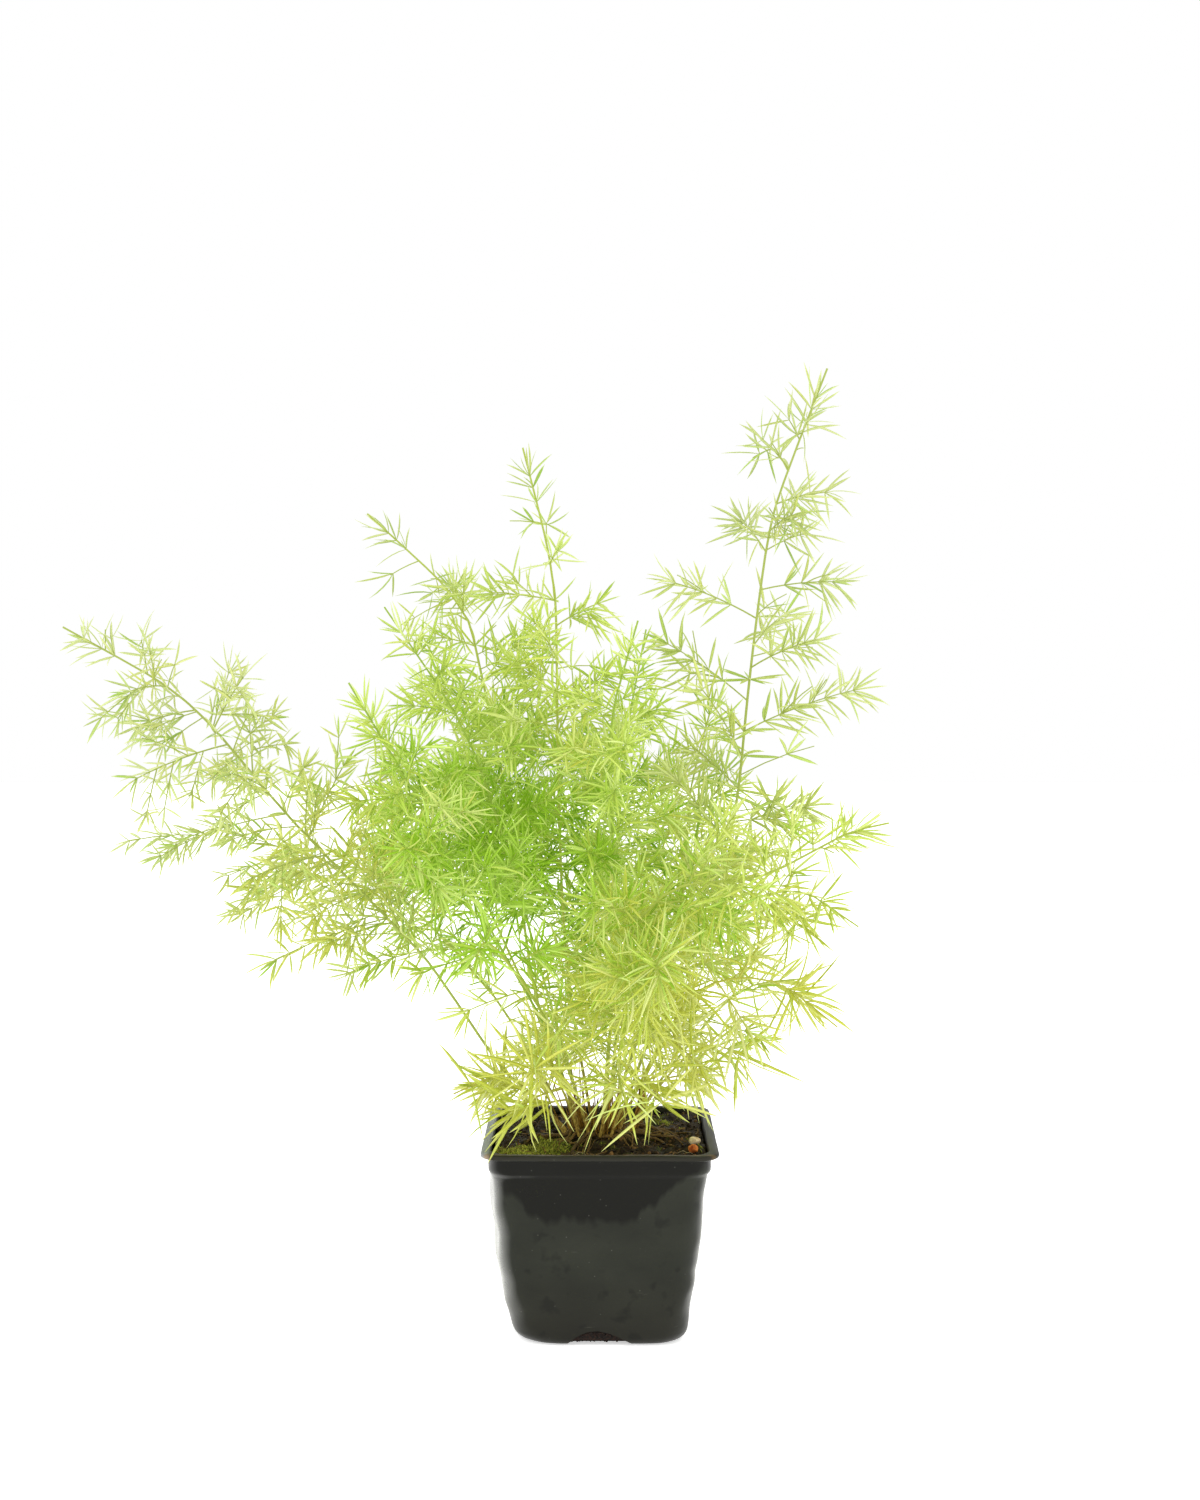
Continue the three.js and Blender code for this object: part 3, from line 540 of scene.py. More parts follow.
def potPlastic():
    finish = potFinish
    material, tree, shader = newMaterial("blackPotPlastic", Specular_IOR_Level=0.17, Coat_Roughness=0.08,
                                         Specular_Tint=(0.98, 0.98, 0.9, 1.0), Coat_IOR=2.9,
                                         Coat_Tint=(1.0, 0.97, 0.92, 1.0))
    x, y, z = partsOf(objectPlace(tree))
    drips = mottle(tree, 210.0, 1.0, 0.3, 0.7, (1, 1, 0.12))[0]
    wander = mottle(tree, 38.0, 2.0, 0.2, 0.8, (1, 1, 0.5))[0]
    film, filmHeight = mottle(tree, 30.0, 5.0, 0.35, 0.7, (1, 1, 1.6))
    blots = mottle(tree, 140.0, 2.0, 0.58, 0.7)[0]
    scuffs = mottle(tree, 70.0, 6.0, 0.7, 0.76, (1, 1, 7))[0]
    dust = specks(tree, 420.0, 0.16, 0.1)
    grain = mottle(tree, 900.0, 2.0, 0.3, 0.7)[1]
    flange = z.ramp(*finish["flange"])
    # painted dark reflection: a near-black band round the upper wall, its ragged lower edge higher towards
    # the corners
    flat = x.ramp(0.0, 0.01, *finish["flatHalf"])
    sag = (abs(x).maths("MINIMUM", abs(y)) - flat).maths("MAXIMUM") * finish["darkReflectionSag"]
    darkReflection = (z + (drips * finish["drip"] + wander * finish["wander"]) - sag).ramp(*finish["darkReflection"])
    left = x.ramp(*finish["leftEdge"])
    crust = y.ramp(*finish["crustIn"]) * y.ramp(*finish["crustOut"]) * flange * drips
    worn = left * y.ramp(*finish["frontEdge"]) * flange * film
    # the olive-grey body is partly a dusty film and partly painted reflection of the pale floor; the
    # near-black band over it is painted dark reflection
    tone = layered(film.between("1a1c17", "252720"), (z.ramp(*finish["footDarker"], 0.0, 0.5), "191611"),
                   (blots * 0.6, "0c0d0b"), (darkReflection, "030302"), (flange, "24231d"),
                   (left * flange * 0.85, "94989c"), (crust * 0.5, "80663e"), (dust * 0.4, "6a6a62"),
                   (scuffs * 0.18, "55544c"), (worn, "9a7b4c"))
    tone.to(shader, "Base Color")
    (filmHeight.ramp(0.3, 0.7, *finish["roughness"]) + flange * finish["flangeRough"]).to(shader, "Roughness")
    # the gloss lies where the wall turns away, wider and stronger on the left
    facing = put(tree, "ShaderNodeLayerWeight", {"Blend": 0.5}, "Facing")
    low, high, most = (x.ramp(*finish["leftGloss"], left, right)
                       for left, right in ((0.22, 0.45), (0.7, 0.85), (1.0, 0.45)))
    gloss = facing.ramp(low, high) * flange.ramp(1.0, 0.0, 0.0, 0.9) * most * z.ramp(*finish["glossFoot"])
    gloss = gloss * z.ramp(*finish["glossTop"], 1.0, 0.3)
    gloss = gloss * facing.ramp(0.8, 0.93, 1.0, 0.6) * facing.ramp(0.955, 0.995, 1.0, 0.0)
    gloss.to(shader, "Coat Weight")
    bumped(shader, grain * 0.25 + filmHeight, 0.25, 0.0006)
    return material


def makePot():
    shape = potShape
    points, faces = ringed([squareRing(*turn, shape["cornerPoints"], shape["sidePoints"])
                            for turn in potRings()])
    pot = pieceFrom("nursery_pot", meshFrom("nursery_pot", dented(points), faces), potPlastic())
    cutters = pieceFrom("cutters", potCutters(), smooth=False)
    cut = pot.modifiers.new("openings", "BOOLEAN")
    cut.operation, cut.object, cut.solver = "DIFFERENCE", cutters, "EXACT"
    settle(pot)
    bpy.data.objects.remove(cutters)
    tidy = bmesh.new()
    tidy.from_mesh(pot.data)
    bmesh.ops.remove_doubles(tidy, verts=tidy.verts, dist=1e-6)
    tidy.to_mesh(pot.data)
    tidy.free()
    pot.data.shade_smooth()
    pot.data.set_sharp_from_angle(angle=math.radians(shape["sharpFrom"]))
    keepPiece(pot, "pot_plastic", "pot")


makePot()


# potting soil with its crumbs, moss and fibres

soilShape = {
    "edge": 81.0, "mound": 3.2, "moundWidth": 24, "lump": 0.9, "coarse": 1.5, "fine": 0.75, "mossLift": 1.1,
    "gap": 1.55, "wallFoot": (37.7, 12, 2.5), "wallRise": (7.5, -2.5, 71), "wallRings": 14, "floorDrop": 0.2,
    "topHalf": 45.1, "topCorner": 8.0, "topFoot": 76.5, "topRings": 62, "rimDip": 0.9,
    "cornerPoints": 9, "sidePoints": 27,
    "crumbDensity": 240000.0, "crumbSize": 0.85, "chipDensity": 42000.0, "chipSize": 0.9, "knob": 1.2,
    "mossDensity": 3.2e6, "mossLength": 1.7, "mossFrom": 77, "slotLumps": 230, "lumpSize": (0.4, 1.0),
    "slotFace": -33.6, "slotLean": 2.2, "slotLoose": 1.3,
    "hollows": [(-7, -29, 10, 9, 2.4), (28, -31, 6, 10, 1.9), (-30, 6, 9, 8, 1.2), (14, 30, 9, 7, 1.4)],
    "ridges": [(24, -9, 16, 3.5, 1.5), (8, -17, 7, 5, 1.2), (-16, -24, 10, 4, 0.9), (34, -22, 5, 4, 0.8)],
    "moss": [(-35, -37, 13, 11, 1), (-22, -24, 10, 10, 0.95), (26, 24, 7, 9, 0.6)],
}


def soilTop(x, y):  # the solid soil's own top: a mound at the crown, and lumps
    mound = soilShape["mound"] * math.exp(-(x * x + y * y) / soilShape["moundWidth"] ** 2)
    lumps = math.sin(x * 0.31 + 1.3) * math.cos(y * 0.27) + 0.6 * math.sin(x * 0.13 - y * 0.41)
    return soilShape["edge"] + mound + soilShape["lump"] * lumps


def humps(x, y, parts):  # place, half widths and height of each
    return sum(size * math.exp(-((x - cx) / wide) ** 2 - ((y - cy) / deep) ** 2)
               for cx, cy, wide, deep, size in parts)


def mossShare(x, y):  # thick in the left front corner, in patches elsewhere
    return humps(x, y, soilShape["moss"]) + 0.75 * noise.noise(Vector((x, y, 3)) / 3.4)


def soilHeight(x, y):
    shape, place = soilShape, Vector((x, y, 0))
    coarse = noise.fractal(place / 7.5, 1.0, 2.2, 4)
    fine = noise.fractal(place / 2.1 + Vector((5, 1, 2)), 0.9, 2.1, 3)
    form = humps(x, y, shape["ridges"]) - humps(x, y, shape["hollows"])
    lumps = shape["coarse"] * coarse + shape["fine"] * fine
    return soilTop(x, y) + lumps + form + shape["mossLift"] * max(0, mossShare(x, y) - 0.35)


def makeSoil():
    shape = soilShape

    def ringOf(half, corner, z):
        return squareRing(half, corner, z, shape["cornerPoints"], shape["sidePoints"])

    def wallRing(t, lower=0.0):  # a gap inside the pot's wall
        half, corner, z = (foot + rise * t for foot, rise in zip(shape["wallFoot"], shape["wallRise"]))
        return dented(ringOf(half - shape["gap"], corner - shape["gap"], z - lower))

    steps, inner = shape["wallRings"], shape["topRings"]
    rings = [wallRing(0, shape["floorDrop"]), *(wallRing(k / steps) for k in range(steps + 1))]
    rings.append(ringOf(shape["topHalf"], shape["topCorner"], shape["topFoot"]))
    for share in [1, 0.995, *(0.99 * (1 - k / inner) for k in range(1, inner))]:
        ring = ringOf(shape["topHalf"] * share, shape["topCorner"] * share, 0)
        dip = shape["rimDip"] if share == 1 else 0
        rings.append([(x, y, soilHeight(x, y) - dip) for x, y, _ in ring])
    points, faces = ringed(rings)
    moss = [mossShare(x, y) if z > shape["mossFrom"] else 0 for x, y, z in points]
    places, sizes = zip(*slotLumps())
    values = {"moss": moss + [0] * len(sizes), "lump": [0] * len(points) + list(sizes)}
    bed = pieceFrom("soil_bed", meshFrom("soil_bed", [*points, *places], faces, values=values))
    grow(bed, crumbTree(), {"Crumb density": shape["crumbDensity"], "Crumb size": shape["crumbSize"] * mm,
                            "Chip density": shape["chipDensity"], "Chip size": shape["chipSize"] * mm,
                            "Knob": shape["knob"] * mm, "Soil": peat()})
    keepPiece(bed, "potting_soil", "soil")
    carpet = pieceFrom("moss_carpet", meshFrom("moss_carpet", points, faces, values={"moss": moss}))
    grow(carpet, mossTree(), {"Density": shape["mossDensity"], "Length": shape["mossLength"] * mm,
                              "Moss": mossGreen()})
    keepPiece(carpet, "foliage_deep")


def slotLumps():  # soil that hangs in the drain slot at the foot of each wall
    rng = np.random.default_rng(12)
    shape, wide, high = soilShape, potShape["slotWidth"] / 2 - 1, potShape["slotHeight"] - 0.6
    lumps = []
    for turn in range(4):
        for _ in range(shape["slotLumps"]):
            u = rng.uniform(-1, 1)
            size = rng.uniform(*shape["lumpSize"])
            z = size * 1.3 + 0.6 + rng.uniform(0, 1) * max(0.2, high * slotRise(u) - 1.6 * size)
            y = shape["slotFace"] - shape["slotLean"] * float(smooth(z, 0, 5))
            y += rng.uniform(0, shape["slotLoose"])
            lumps.append((tuple(quarterTurn(turn) @ Vector((u * wide, y, z))), size))
    return lumps


def topOnly(tree):  # 1 on faces that look up, high in the pot
    facing = partsOf(put(tree, "GeometryNodeInputNormal"))[2]
    height = partsOf(put(tree, "GeometryNodeInputPosition"))[2]
    return (facing > 0.3) * (height > 0.0775)


def strewn(points, radius, form, lean, size, seed):  # turned lumps, each with its own shade
    tree = points.tree
    lump = put(tree, "GeometryNodeMeshIcoSphere", {"Radius": radius, "Subdivisions": 1})
    flat = randomVector(tree, *(tuple(share * v for v in form) for share in (0.7, 1.2)), seed)
    turn = randomVector(tree, (-lean, -lean, 0), (lean, lean, 6.3), seed + 1)
    laid = laidOut(points, lump, turn, scaled(flat, size))
    return stored(laid, "shade", randomShare(tree, seed + 2, 0.05, 1.0), "INSTANCE")


def crumbTree():
    tree, given, out = newRule("crumbs", {"Crumb density": 100000.0, "Crumb size": 0.001, "Knob": 0.001,
                                          "Chip density": 10000.0, "Chip size": 0.001, "Soil": "Material"})
    lumps, ground = parted(given["Geometry"], named(tree, "lump"))
    crumbs, chips = (spread(ground, topOnly(tree), given[kind + " density"], seed)
                     for kind, seed in (("Crumb", 7), ("Chip", 8)))
    crumbSize, chipSize = randomShare(tree, 5) ** 4.0 * 1.6 + 0.35, randomShare(tree, 6, 0.5, 1.3)
    loose = joined(strewn(crumbs, given["Crumb size"], (1, 0.9, 0.75), 3.1, crumbSize, 20),
                   strewn(chips, given["Chip size"], (2.6, 0.9, 0.5), 0.5, chipSize, 30),
                   strewn(lumps, 0.001, (1, 1, 0.9), 3.1, named(tree, "lump"), 40))
    knobs = put(tree, "ShaderNodeTexNoise", {"Scale": 900.0, "Detail": 2.0}, "Color")
    knobs = put(tree, "ShaderNodeVectorMath", {0: knobs, 1: (0.5, 0.5, 0.5)}, operation="SUBTRACT")
    loose = realized(loose, Offset=scaled(knobs, given["Knob"]))
    dressed(joined(loose, ground), given["Soil"]).to(out, 0)
    return tree


def mossTree():
    tree, given, out = newRule("moss", {"Density": 100000.0, "Length": 0.001, "Moss": "Material"})
    thick = named(tree, "moss").ramp(0.32, 0.75)
    spots = spread(given["Geometry"], topOnly(tree) * (thick > 0.01), given["Density"] * thick, 3)
    blade = shaft(tree, 2, 0.16, 0.35, lambda z: z.ramp(-0.5, 0.5, 1.0, 0.12))
    turn = randomVector(tree, (-0.9, -0.9, 0), (0.9, 0.9, 6.3), 3)
    tufts = laidOut(spots, blade, turn, randomShare(tree, 4, 0.5, 1.2) * given["Length"])
    tufts = stored(tufts, "tint", randomShare(tree, 12), "INSTANCE")
    dressed(realized(tufts), given["Moss"]).to(out, 0)
    return tree


def peat():
    material, tree, shader = newMaterial("moistPeat", Roughness=0.75, Specular_IOR_Level=0.22)
    coarse, coarseHeight = mottle(tree, 170.0, 5.0, 0.38, 0.66)
    fine, fineHeight = mottle(tree, 1000.0, 3.0, 0.4, 0.7)
    shade, damp = told(tree, "shade"), told(tree, "moss")
    # painted shade: the soil low in the pot, in the drain slots under the wall, takes darker tones
    low = partsOf(objectPlace(tree))[2].ramp(0.012, 0.006)
    loose = layered(shade.ramp(0.3, 0.75).between("181009", "3c2a15"), (shade.ramp(0.82, 0.97), "846238"),
                    (fine * 0.4, "1c140a"))
    tone = layered(coarse.between("0c0904", "2a1e10"), (fine * 0.45, "4a3820"),
                   (shade.ramp(0.0, 0.04), loose), (damp.ramp(0.2, 0.6) * 0.75, "55601c"),
                   (low, fine.between("100b07", "2c1b12")))
    tone.to(shader, "Base Color")
    bumped(shader, coarseHeight + fineHeight * 0.5, 0.8, 0.0012)
    return material


def mossGreen():
    material, tree, shader = newMaterial("mossGreen", Roughness=0.6, Specular_IOR_Level=0.3,
                                         Emission_Strength=0.04)
    cloud = mottle(tree, 120.0, 2.0, 0.35, 0.65)[0]
    tone = layered(told(tree, "tint").between("66741a", "c6c850"), (cloud * 0.5, "6c6a1e"))
    tone.to(shader, "Base Color")
    # painted glow: the moss glows faintly with its own tone
    tone.to(shader, "Emission Color")
    return material


makeSoil()


# roots, fibres, dry stem bases, old stubs and clay grains

litter = {
    "edge": 43.0, "crown": 15, "rootSides": 6, "step": 1.8, "taper": 0.6,
    # how many, length, wander, height at the foot and of the arch, lift, radius and tint of each kind
    "fibres": {"count": 170, "length": (5, 18), "wander": 0.28, "foot": (0, 0.8), "arch": (0.2, 1.1),
               "lift": 0.1, "radius": (0.12, 0.26), "tint": (0.0, 0.6)},
    "whiteRoots": {"count": 9, "length": (7, 18), "wander": 0.26, "foot": 0.5, "arch": (0.3, 1.3),
                   "lift": 0.15, "radius": (0.11, 0.17), "tint": (0.85, 1.0)},
    "crownRoots": {"count": 34, "length": (14, 34), "wander": 0.2, "foot": 1.4, "arch": 0.5,
                   "lift": -0.3, "radius": (0.5, 1.15), "tint": (0.25, 0.5)},
    "stemBases": 78, "stemSides": 7, "stemForm": (1.25, 1, 0.92, 0.86, 0.8, 0.5),
    "tallStem": ((16, 36), (0.24, 0.36)), "lowStem": ((5, 17), (0.28, 0.58)),  # height and radius
    "stubs": [  # name, foot, top, radius
        ("old_stub_back", (16, 12, 76), (19, 14, 101), 1.9),
        ("old_stub_right", (8, 19, 76), (8, 23, 93), 1.5),
    ],
    "stubRings": 24, "stubSides": 18,
    "grains": [  # name, place, half sizes, slot, darkest and lightest tone
        ("clay_grain_pale", (40.5, -19, 83.2), (2.9, 2.6, 2.4), "clay_pale", "b08a55", "ecd9b4"),
        ("clay_grain_rust", (39.5, -30, 82.6), (2.5, 2.9, 2.1), "clay_rust", "8a3a10", "dc8438"),
    ],
}


def strandTree():  # round strands along the edges of a mesh, as thick as each point says
    tree, given, out = newRule("strands", {"Sides": 6, "Cover": "Material"})
    thick = named(tree, "thickness")
    line = put(tree, "GeometryNodeMeshToCurve", {0: given["Geometry"]})
    line = put(tree, "GeometryNodeCurveSplineType", {"Curve": line}, spline_type="CATMULL_ROM")
    steps = thick.ramp(0.00055, 0.0006, 1.0, 3.0)
    line = put(tree, "GeometryNodeSetSplineResolution", {"Geometry": line, "Resolution": steps})
    ring = put(tree, "GeometryNodeCurvePrimitiveCircle", {"Resolution": given["Sides"], "Radius": 1.0})
    skin = put(tree, "GeometryNodeCurveToMesh",
               {"Curve": line, "Profile Curve": ring, "Scale": thick, "Fill Caps": True})
    dressed(put(tree, "GeometryNodeSetShadeSmooth", {"Geometry": skin}), given["Cover"]).to(out, 0)
    return tree


strands = strandTree()


def strandPiece(name, lines, sides, material):  # each line: points, radii and tint
    points, edges, thickness, tints = [], [], [], []
    for route, radii, tint in lines:
        edges += [(len(points) + i, len(points) + i + 1) for i in range(len(route) - 1)]
        points += [tuple(p) for p in route]
        thickness += [r * mm for r in radii]
        tints += [tint] * len(route)
    mesh = meshFrom(name, points, [], edges, {"thickness": thickness, "tint": tints})
    return grow(pieceFrom(name, mesh, smooth=False), strands, {"Sides": sides, "Cover": material})


def drawn(rng, value):  # a number as it is, or one drawn from its range
    return rng.uniform(*value) if isinstance(value, tuple) else value


def creeping(rng, kind, x, y, heading=(0, 6.3)):  # a line that follows the soil's surface
    heading, length = drawn(rng, heading), drawn(rng, kind["length"])
    foot, arch, radius = (drawn(rng, kind[name]) for name in ("foot", "arch", "radius"))
    count = max(5, int(length / litter["step"]))
    route, radii = [], []
    for i in range(count):
        share = i / (count - 1)
        x, y = (float(np.clip(v, -litter["edge"], litter["edge"])) for v in (x, y))
        over = soilHeight(x, y) + foot * (1 - share) + arch * math.sin(math.pi * share)
        route.append((x, y, over + kind["lift"]))
        radii.append(radius * (1 - litter["taper"] * share))
        heading += kind["wander"] * rng.normal()
        x += length / count * math.cos(heading)
        y += length / count * math.sin(heading)
    return route, radii, drawn(rng, kind["tint"])


def stemBase(rng, tall):
    angle, far = rng.uniform(0, 6.3), litter["crown"] * math.sqrt(rng.uniform(0.02, 1))
    x, y = far * math.cos(angle), 0.85 * far * math.sin(angle) - 1
    heights, radii = litter["tallStem" if tall else "lowStem"]
    height = drawn(rng, heights)
    lean = Vector((x / 40 + rng.normal() * 0.12, y / 40 + rng.normal() * 0.12, 1))
    foot = Vector((x, y, soilTop(x, y) - 1.5))
    curl = Vector((rng.normal(), rng.normal(), 0)) * 0.5
    route = [foot + lean * height * t + curl * math.sin(2.4 * t) for t in (0, 0.2, 0.4, 0.6, 0.8, 1)]
    thick = drawn(rng, radii)
    return route, [thick * v for v in litter["stemForm"]], rng.uniform(0, 1)


def makeLitter():
    rng = np.random.default_rng(91)
    lines = []
    for i in range(litter["fibres"]["count"]):
        lines.append(creeping(rng, litter["fibres"], *rng.uniform(-42, 42, 2)))
    for i in range(litter["whiteRoots"]["count"]):
        lines.append(creeping(rng, litter["whiteRoots"], rng.uniform(-36, 36), rng.uniform(-44, 20)))
    for i in range(litter["crownRoots"]["count"]):
        heading = rng.uniform(-2.6, 1.0) if i % 3 else rng.uniform(-0.5, 0.3)
        start = rng.uniform(7, 15)
        lines.append(creeping(rng, litter["crownRoots"], start * math.cos(heading), start * math.sin(heading),
                              heading))
    keepPiece(strandPiece("roots_and_fibres", lines, litter["rootSides"], rootSkin()), "potting_soil")
    bark = dryStem()
    lines = [stemBase(rng, i % 3 == 0) for i in range(litter["stemBases"])]
    keepPiece(strandPiece("dry_stem_bases", lines, litter["stemSides"], bark), "dead_stem")
    for name, foot, top, radius in litter["stubs"]:
        keepPiece(stubPiece(name, Vector(foot), Vector(top), radius, bark), "dead_stem", name)
    for name, place, size, slot, dark, light in litter["grains"]:
        keepPiece(grainPiece(name, Vector(place), size, grainClay(slot, dark, light)), slot, name)


def stubPiece(name, foot, top, radius, material):  # a dry cut stem, ragged at its top
    steps, sides = litter["stubRings"], litter["stubSides"]
    rings = []
    for k in range(steps + 1):
        share = k / steps
        middle = foot.lerp(top, share)
        ring = []
        for i in range(sides):
            angle = 2 * math.pi * i / sides
            out = Vector((math.cos(angle), math.sin(angle), 0))
            knob = noise.noise(Vector((out.x * 1.6, out.y * 1.6, middle.z / 5)) + foot)
            ridge = 0.1 * math.sin(5 * angle + 2)
            torn = 0.9 * noise.noise(out * 2.2 + foot) * (share > 0.98)
            wide = radius * (1 - 0.15 * share) * (0.9 + 0.16 * knob + ridge)
            ring.append(middle + out * wide + Vector((0, 0, torn)))
        rings.append(ring)
    rings.append([foot.lerp(top, 0.96) + (p - top) * 0.5 for p in rings[-1]])
    return pieceFrom(name + "_fine", meshFrom(name, *ringed(rings)), material)


def grainPiece(name, place, size, material):
    body = bmesh.new()
    bmesh.ops.create_icosphere(body, subdivisions=4, radius=1.0)
    for vert in body.verts:
        way = vert.co.normalized()
        dent = 0.14 * noise.noise(way * 1.5 + place) + 0.05 * noise.noise(way * 5)
        vert.co = place * mm + Vector([way[k] * size[k] * (0.86 + dent) * mm for k in range(3)])
    return pieceFrom(name + "_fine", meshOf(body, name), material)


def rootSkin():
    material, tree, shader = newMaterial("rootSkin", Roughness=0.7, Specular_IOR_Level=0.3)
    tint = told(tree, "tint")
    patch, height = mottle(tree, 600.0, 4.0, 0.38, 0.66)
    tone = layered(tint.ramp(0.1, 0.55).between("2e2010", "8a6c3c"), (tint.ramp(0.7, 0.9), "c2b48c"),
                   (patch * 0.6, "3a2a16"))
    tone.to(shader, "Base Color")
    bumped(shader, height, 0.6, 0.0008)
    return material


def dryStem():
    material, tree, shader = newMaterial("dryStem", Roughness=0.75, Specular_IOR_Level=0.25)
    fibre, height = mottle(tree, 900.0, 4.0, 0.36, 0.66, (1, 1, 0.12))
    tone = layered(fibre.between("5c4116", "a07a30"), (told(tree, "tint").ramp(0.3, 1.0, 0.0, 0.8), "bc9038"))
    tone.to(shader, "Base Color")
    bumped(shader, height, 0.7, 0.0008)
    return material


def grainClay(name, dark, light):
    material, tree, shader = newMaterial(name, Roughness=0.8, Specular_IOR_Level=0.25)
    patch, height = mottle(tree, 420.0, 5.0, 0.36, 0.62)
    pits = specks(tree, 1300.0, 0.4, 0.3)
    layered(patch.between(dark, light), (pits * 0.5, "5a3818")).to(shader, "Base Color")
    bumped(shader, height - pits * 0.4, 0.6, 0.001)
    return material


makeLitter()


# foliage

growth = {
    "seed": 20417, "potHalf": 51.5, "rim": 84, "rimGap": 1.2, "depthInSoil": 18, "bendError": 0.5,
    "turn": 137.5,
    "branchRadius": 0.72, "branchLean": 62, "leanSpread": 26, "branchTurn": 75, "turnSpread": 36,
    "branchSag": 0.13, "branchGap": 0.9,
    "leader": 30, "leaderShare": 0.32, "leaderId": 60,
    "firstWhorl": 0.32, "whorlSpacing": 7.6, "whorlWidth": 2.3, "whorlTwist": 38,
    "needleRadius": 0.6, "needleGap": 0.35, "fewestNeedles": 3, "tries": 10, "needleFoot": 1.6,
    "upperLean": 34, "lowerLean": 50, "needleSpread": 20, "lastLean": 12, "sideTurn": 8, "sideSpread": 30,
    "thickPart": 0.4, "tipThin": 0.6,
}
finer = {  # what is added to the solids' own growth
    "stemThickness": 0.9, "stemEnd": 0.5, "branchThickness": 0.38, "branchEnd": 0.65, "twigThickness": 0.304,
    "twigEnd": 0.75, "needleWidth": 1.18, "needleThickness": 0.42, "sag": 0.1, "curl": 0.24,
    "young": {"wide": 1.2, "sag": 0.7, "curl": 2.6}, "grown": {"wide": 1.0, "sag": 1.0, "curl": 1.3},
    "widths": (0.75, 1.2), "sags": (0.3, 1.6), "droops": (0.6, 1.1), "leanSpread": 58, "turnSpread": 50,
    "starLean": 24, "starTurn": 0.6, "outerThin": 0.12,
    "crown": (-15, 195, 125, 120),  # x and z of the leafy middle, its half width and height
    "tint": 0.47, "tintClouds": 0.55, "tintSpread": 0.2, "frontLightBackShade": 0.0026, "hueSpread": 0.22,
    "stemSides": 6, "needleSegments": 4, "lowest": 84.5, "sparse": 0.34, "shorter": 0.5,
    "needleForm": ((0.12, 0.66), (0.35, 1.0), (0.68, 0.9), (0.88, 0.52)), "needleEnds": (0.3, 0.07),
    "broad": {"tall_right": 1.2, "left_arch": 1.06, "right_low": 0.86},
    # how many extra needles, and how far they lean: between the whorls, at a fork and on a twig
    "between": (5, 56), "fork": (5, 66), "onTwig": (4, 48),
    "twigStart": 28, "twigEvery": 3.2, "twigLength": 0.58, "twigLean": 48, "twigSpread": 34, "twigWhorl": 4.8,
    "twigLeast": 0.15, "youngTwigs": 0.25, "lacy": ("left_arch",),
    # places of the side twigs along a branch, their length and how many of them grow
    "sideTwigs": ((0.36, 0.62), 0.42, 0.7), "lacyTwigs": ((0.26, 0.42, 0.58, 0.76), 0.6, 0.9),
    # each part below: x, z, half width, half height, and how much fuller, longer, greener or yellower it is
    "dense": [
        (-45, 218, 60, 50, 1.0), (2, 160, 34, 30, 0.6), (36, 212, 30, 36, 0.3), (-20, 268, 36, 34, 0.08),
        (62, 300, 34, 56, -0.26), (66, 190, 24, 30, -0.05), (-110, 200, 34, 26, 0.3),
        (-160, 240, 66, 58, 0.36), (-52, 168, 38, 15, -0.6), (-43, 146, 18, 20, -0.7),
        (-36, 122, 22, 14, 0.35), (-78, 134, 24, 22, -0.6), (5, 97, 80, 12, -0.6), (70, 130, 40, 24, -0.2),
        (112, 190, 26, 40, 0.5), (92, 380, 34, 40, 0.08), (-176, 170, 26, 20, -0.8), (-42, 108, 24, 12, 0.5),
    ],
    "longs": [
        (64, 135, 44, 38, 0.4), (-25, 112, 34, 20, 0.35), (5, 100, 30, 18, 0.2), (-165, 240, 75, 60, -0.36),
        (-180, 172, 30, 20, -0.5),
    ],
    # greens: where needles take the darker core tone, partly their own deeper green and partly painted shade
    # of the dense middle
    "greens": [
        (-45, 212, 48, 40, 1.0), (30, 200, 26, 22, 0.3), (-12, 172, 28, 20, 0.5), (44, 176, 18, 16, 0.35),
        (-48, 168, 22, 18, 0.5),
    ],
    "warms": [
        (-112, 202, 34, 36, 1.0), (-30, 105, 60, 34, 1.0), (20, 140, 45, 50, 0.9), (75, 165, 60, 50, 0.7),
    ],
    "stars": [  # shoot, place along it, needles, lean, length and droop of each open star of long needles
        ("front_star", 0.985, 9, 92, 1.25, 0.2), ("front_star", 0.72, 6, 70, 1.0, 0.1),
        ("low_rosette", 0.9, 15, 84, 1.26, 0.04), ("low_rosette", 0.62, 6, 72, 1.1, 0.1),
        ("low_left", 0.9, 4, 74, 1.2, 0.06),
        ("right_front", 0.88, 9, 74, 1.25, 0.14), ("right_low", 0.86, 9, 72, 1.2, 0.1),
        ("front_tuft", 0.9, 6, 72, 1.1, 0.14), ("front_centre", 0.86, 5, 66, 1.1, 0.16),
        ("tall_right", 0.62, 12, 84, 1.0, 0.05), ("tall_right", 0.79, 9, 80, 0.9, 0.05),
        ("left_arch", 0.97, 7, 70, 0.8, 0.05), ("left_arch", 0.87, 8, 78, 0.75, 0.06),
    ],
}
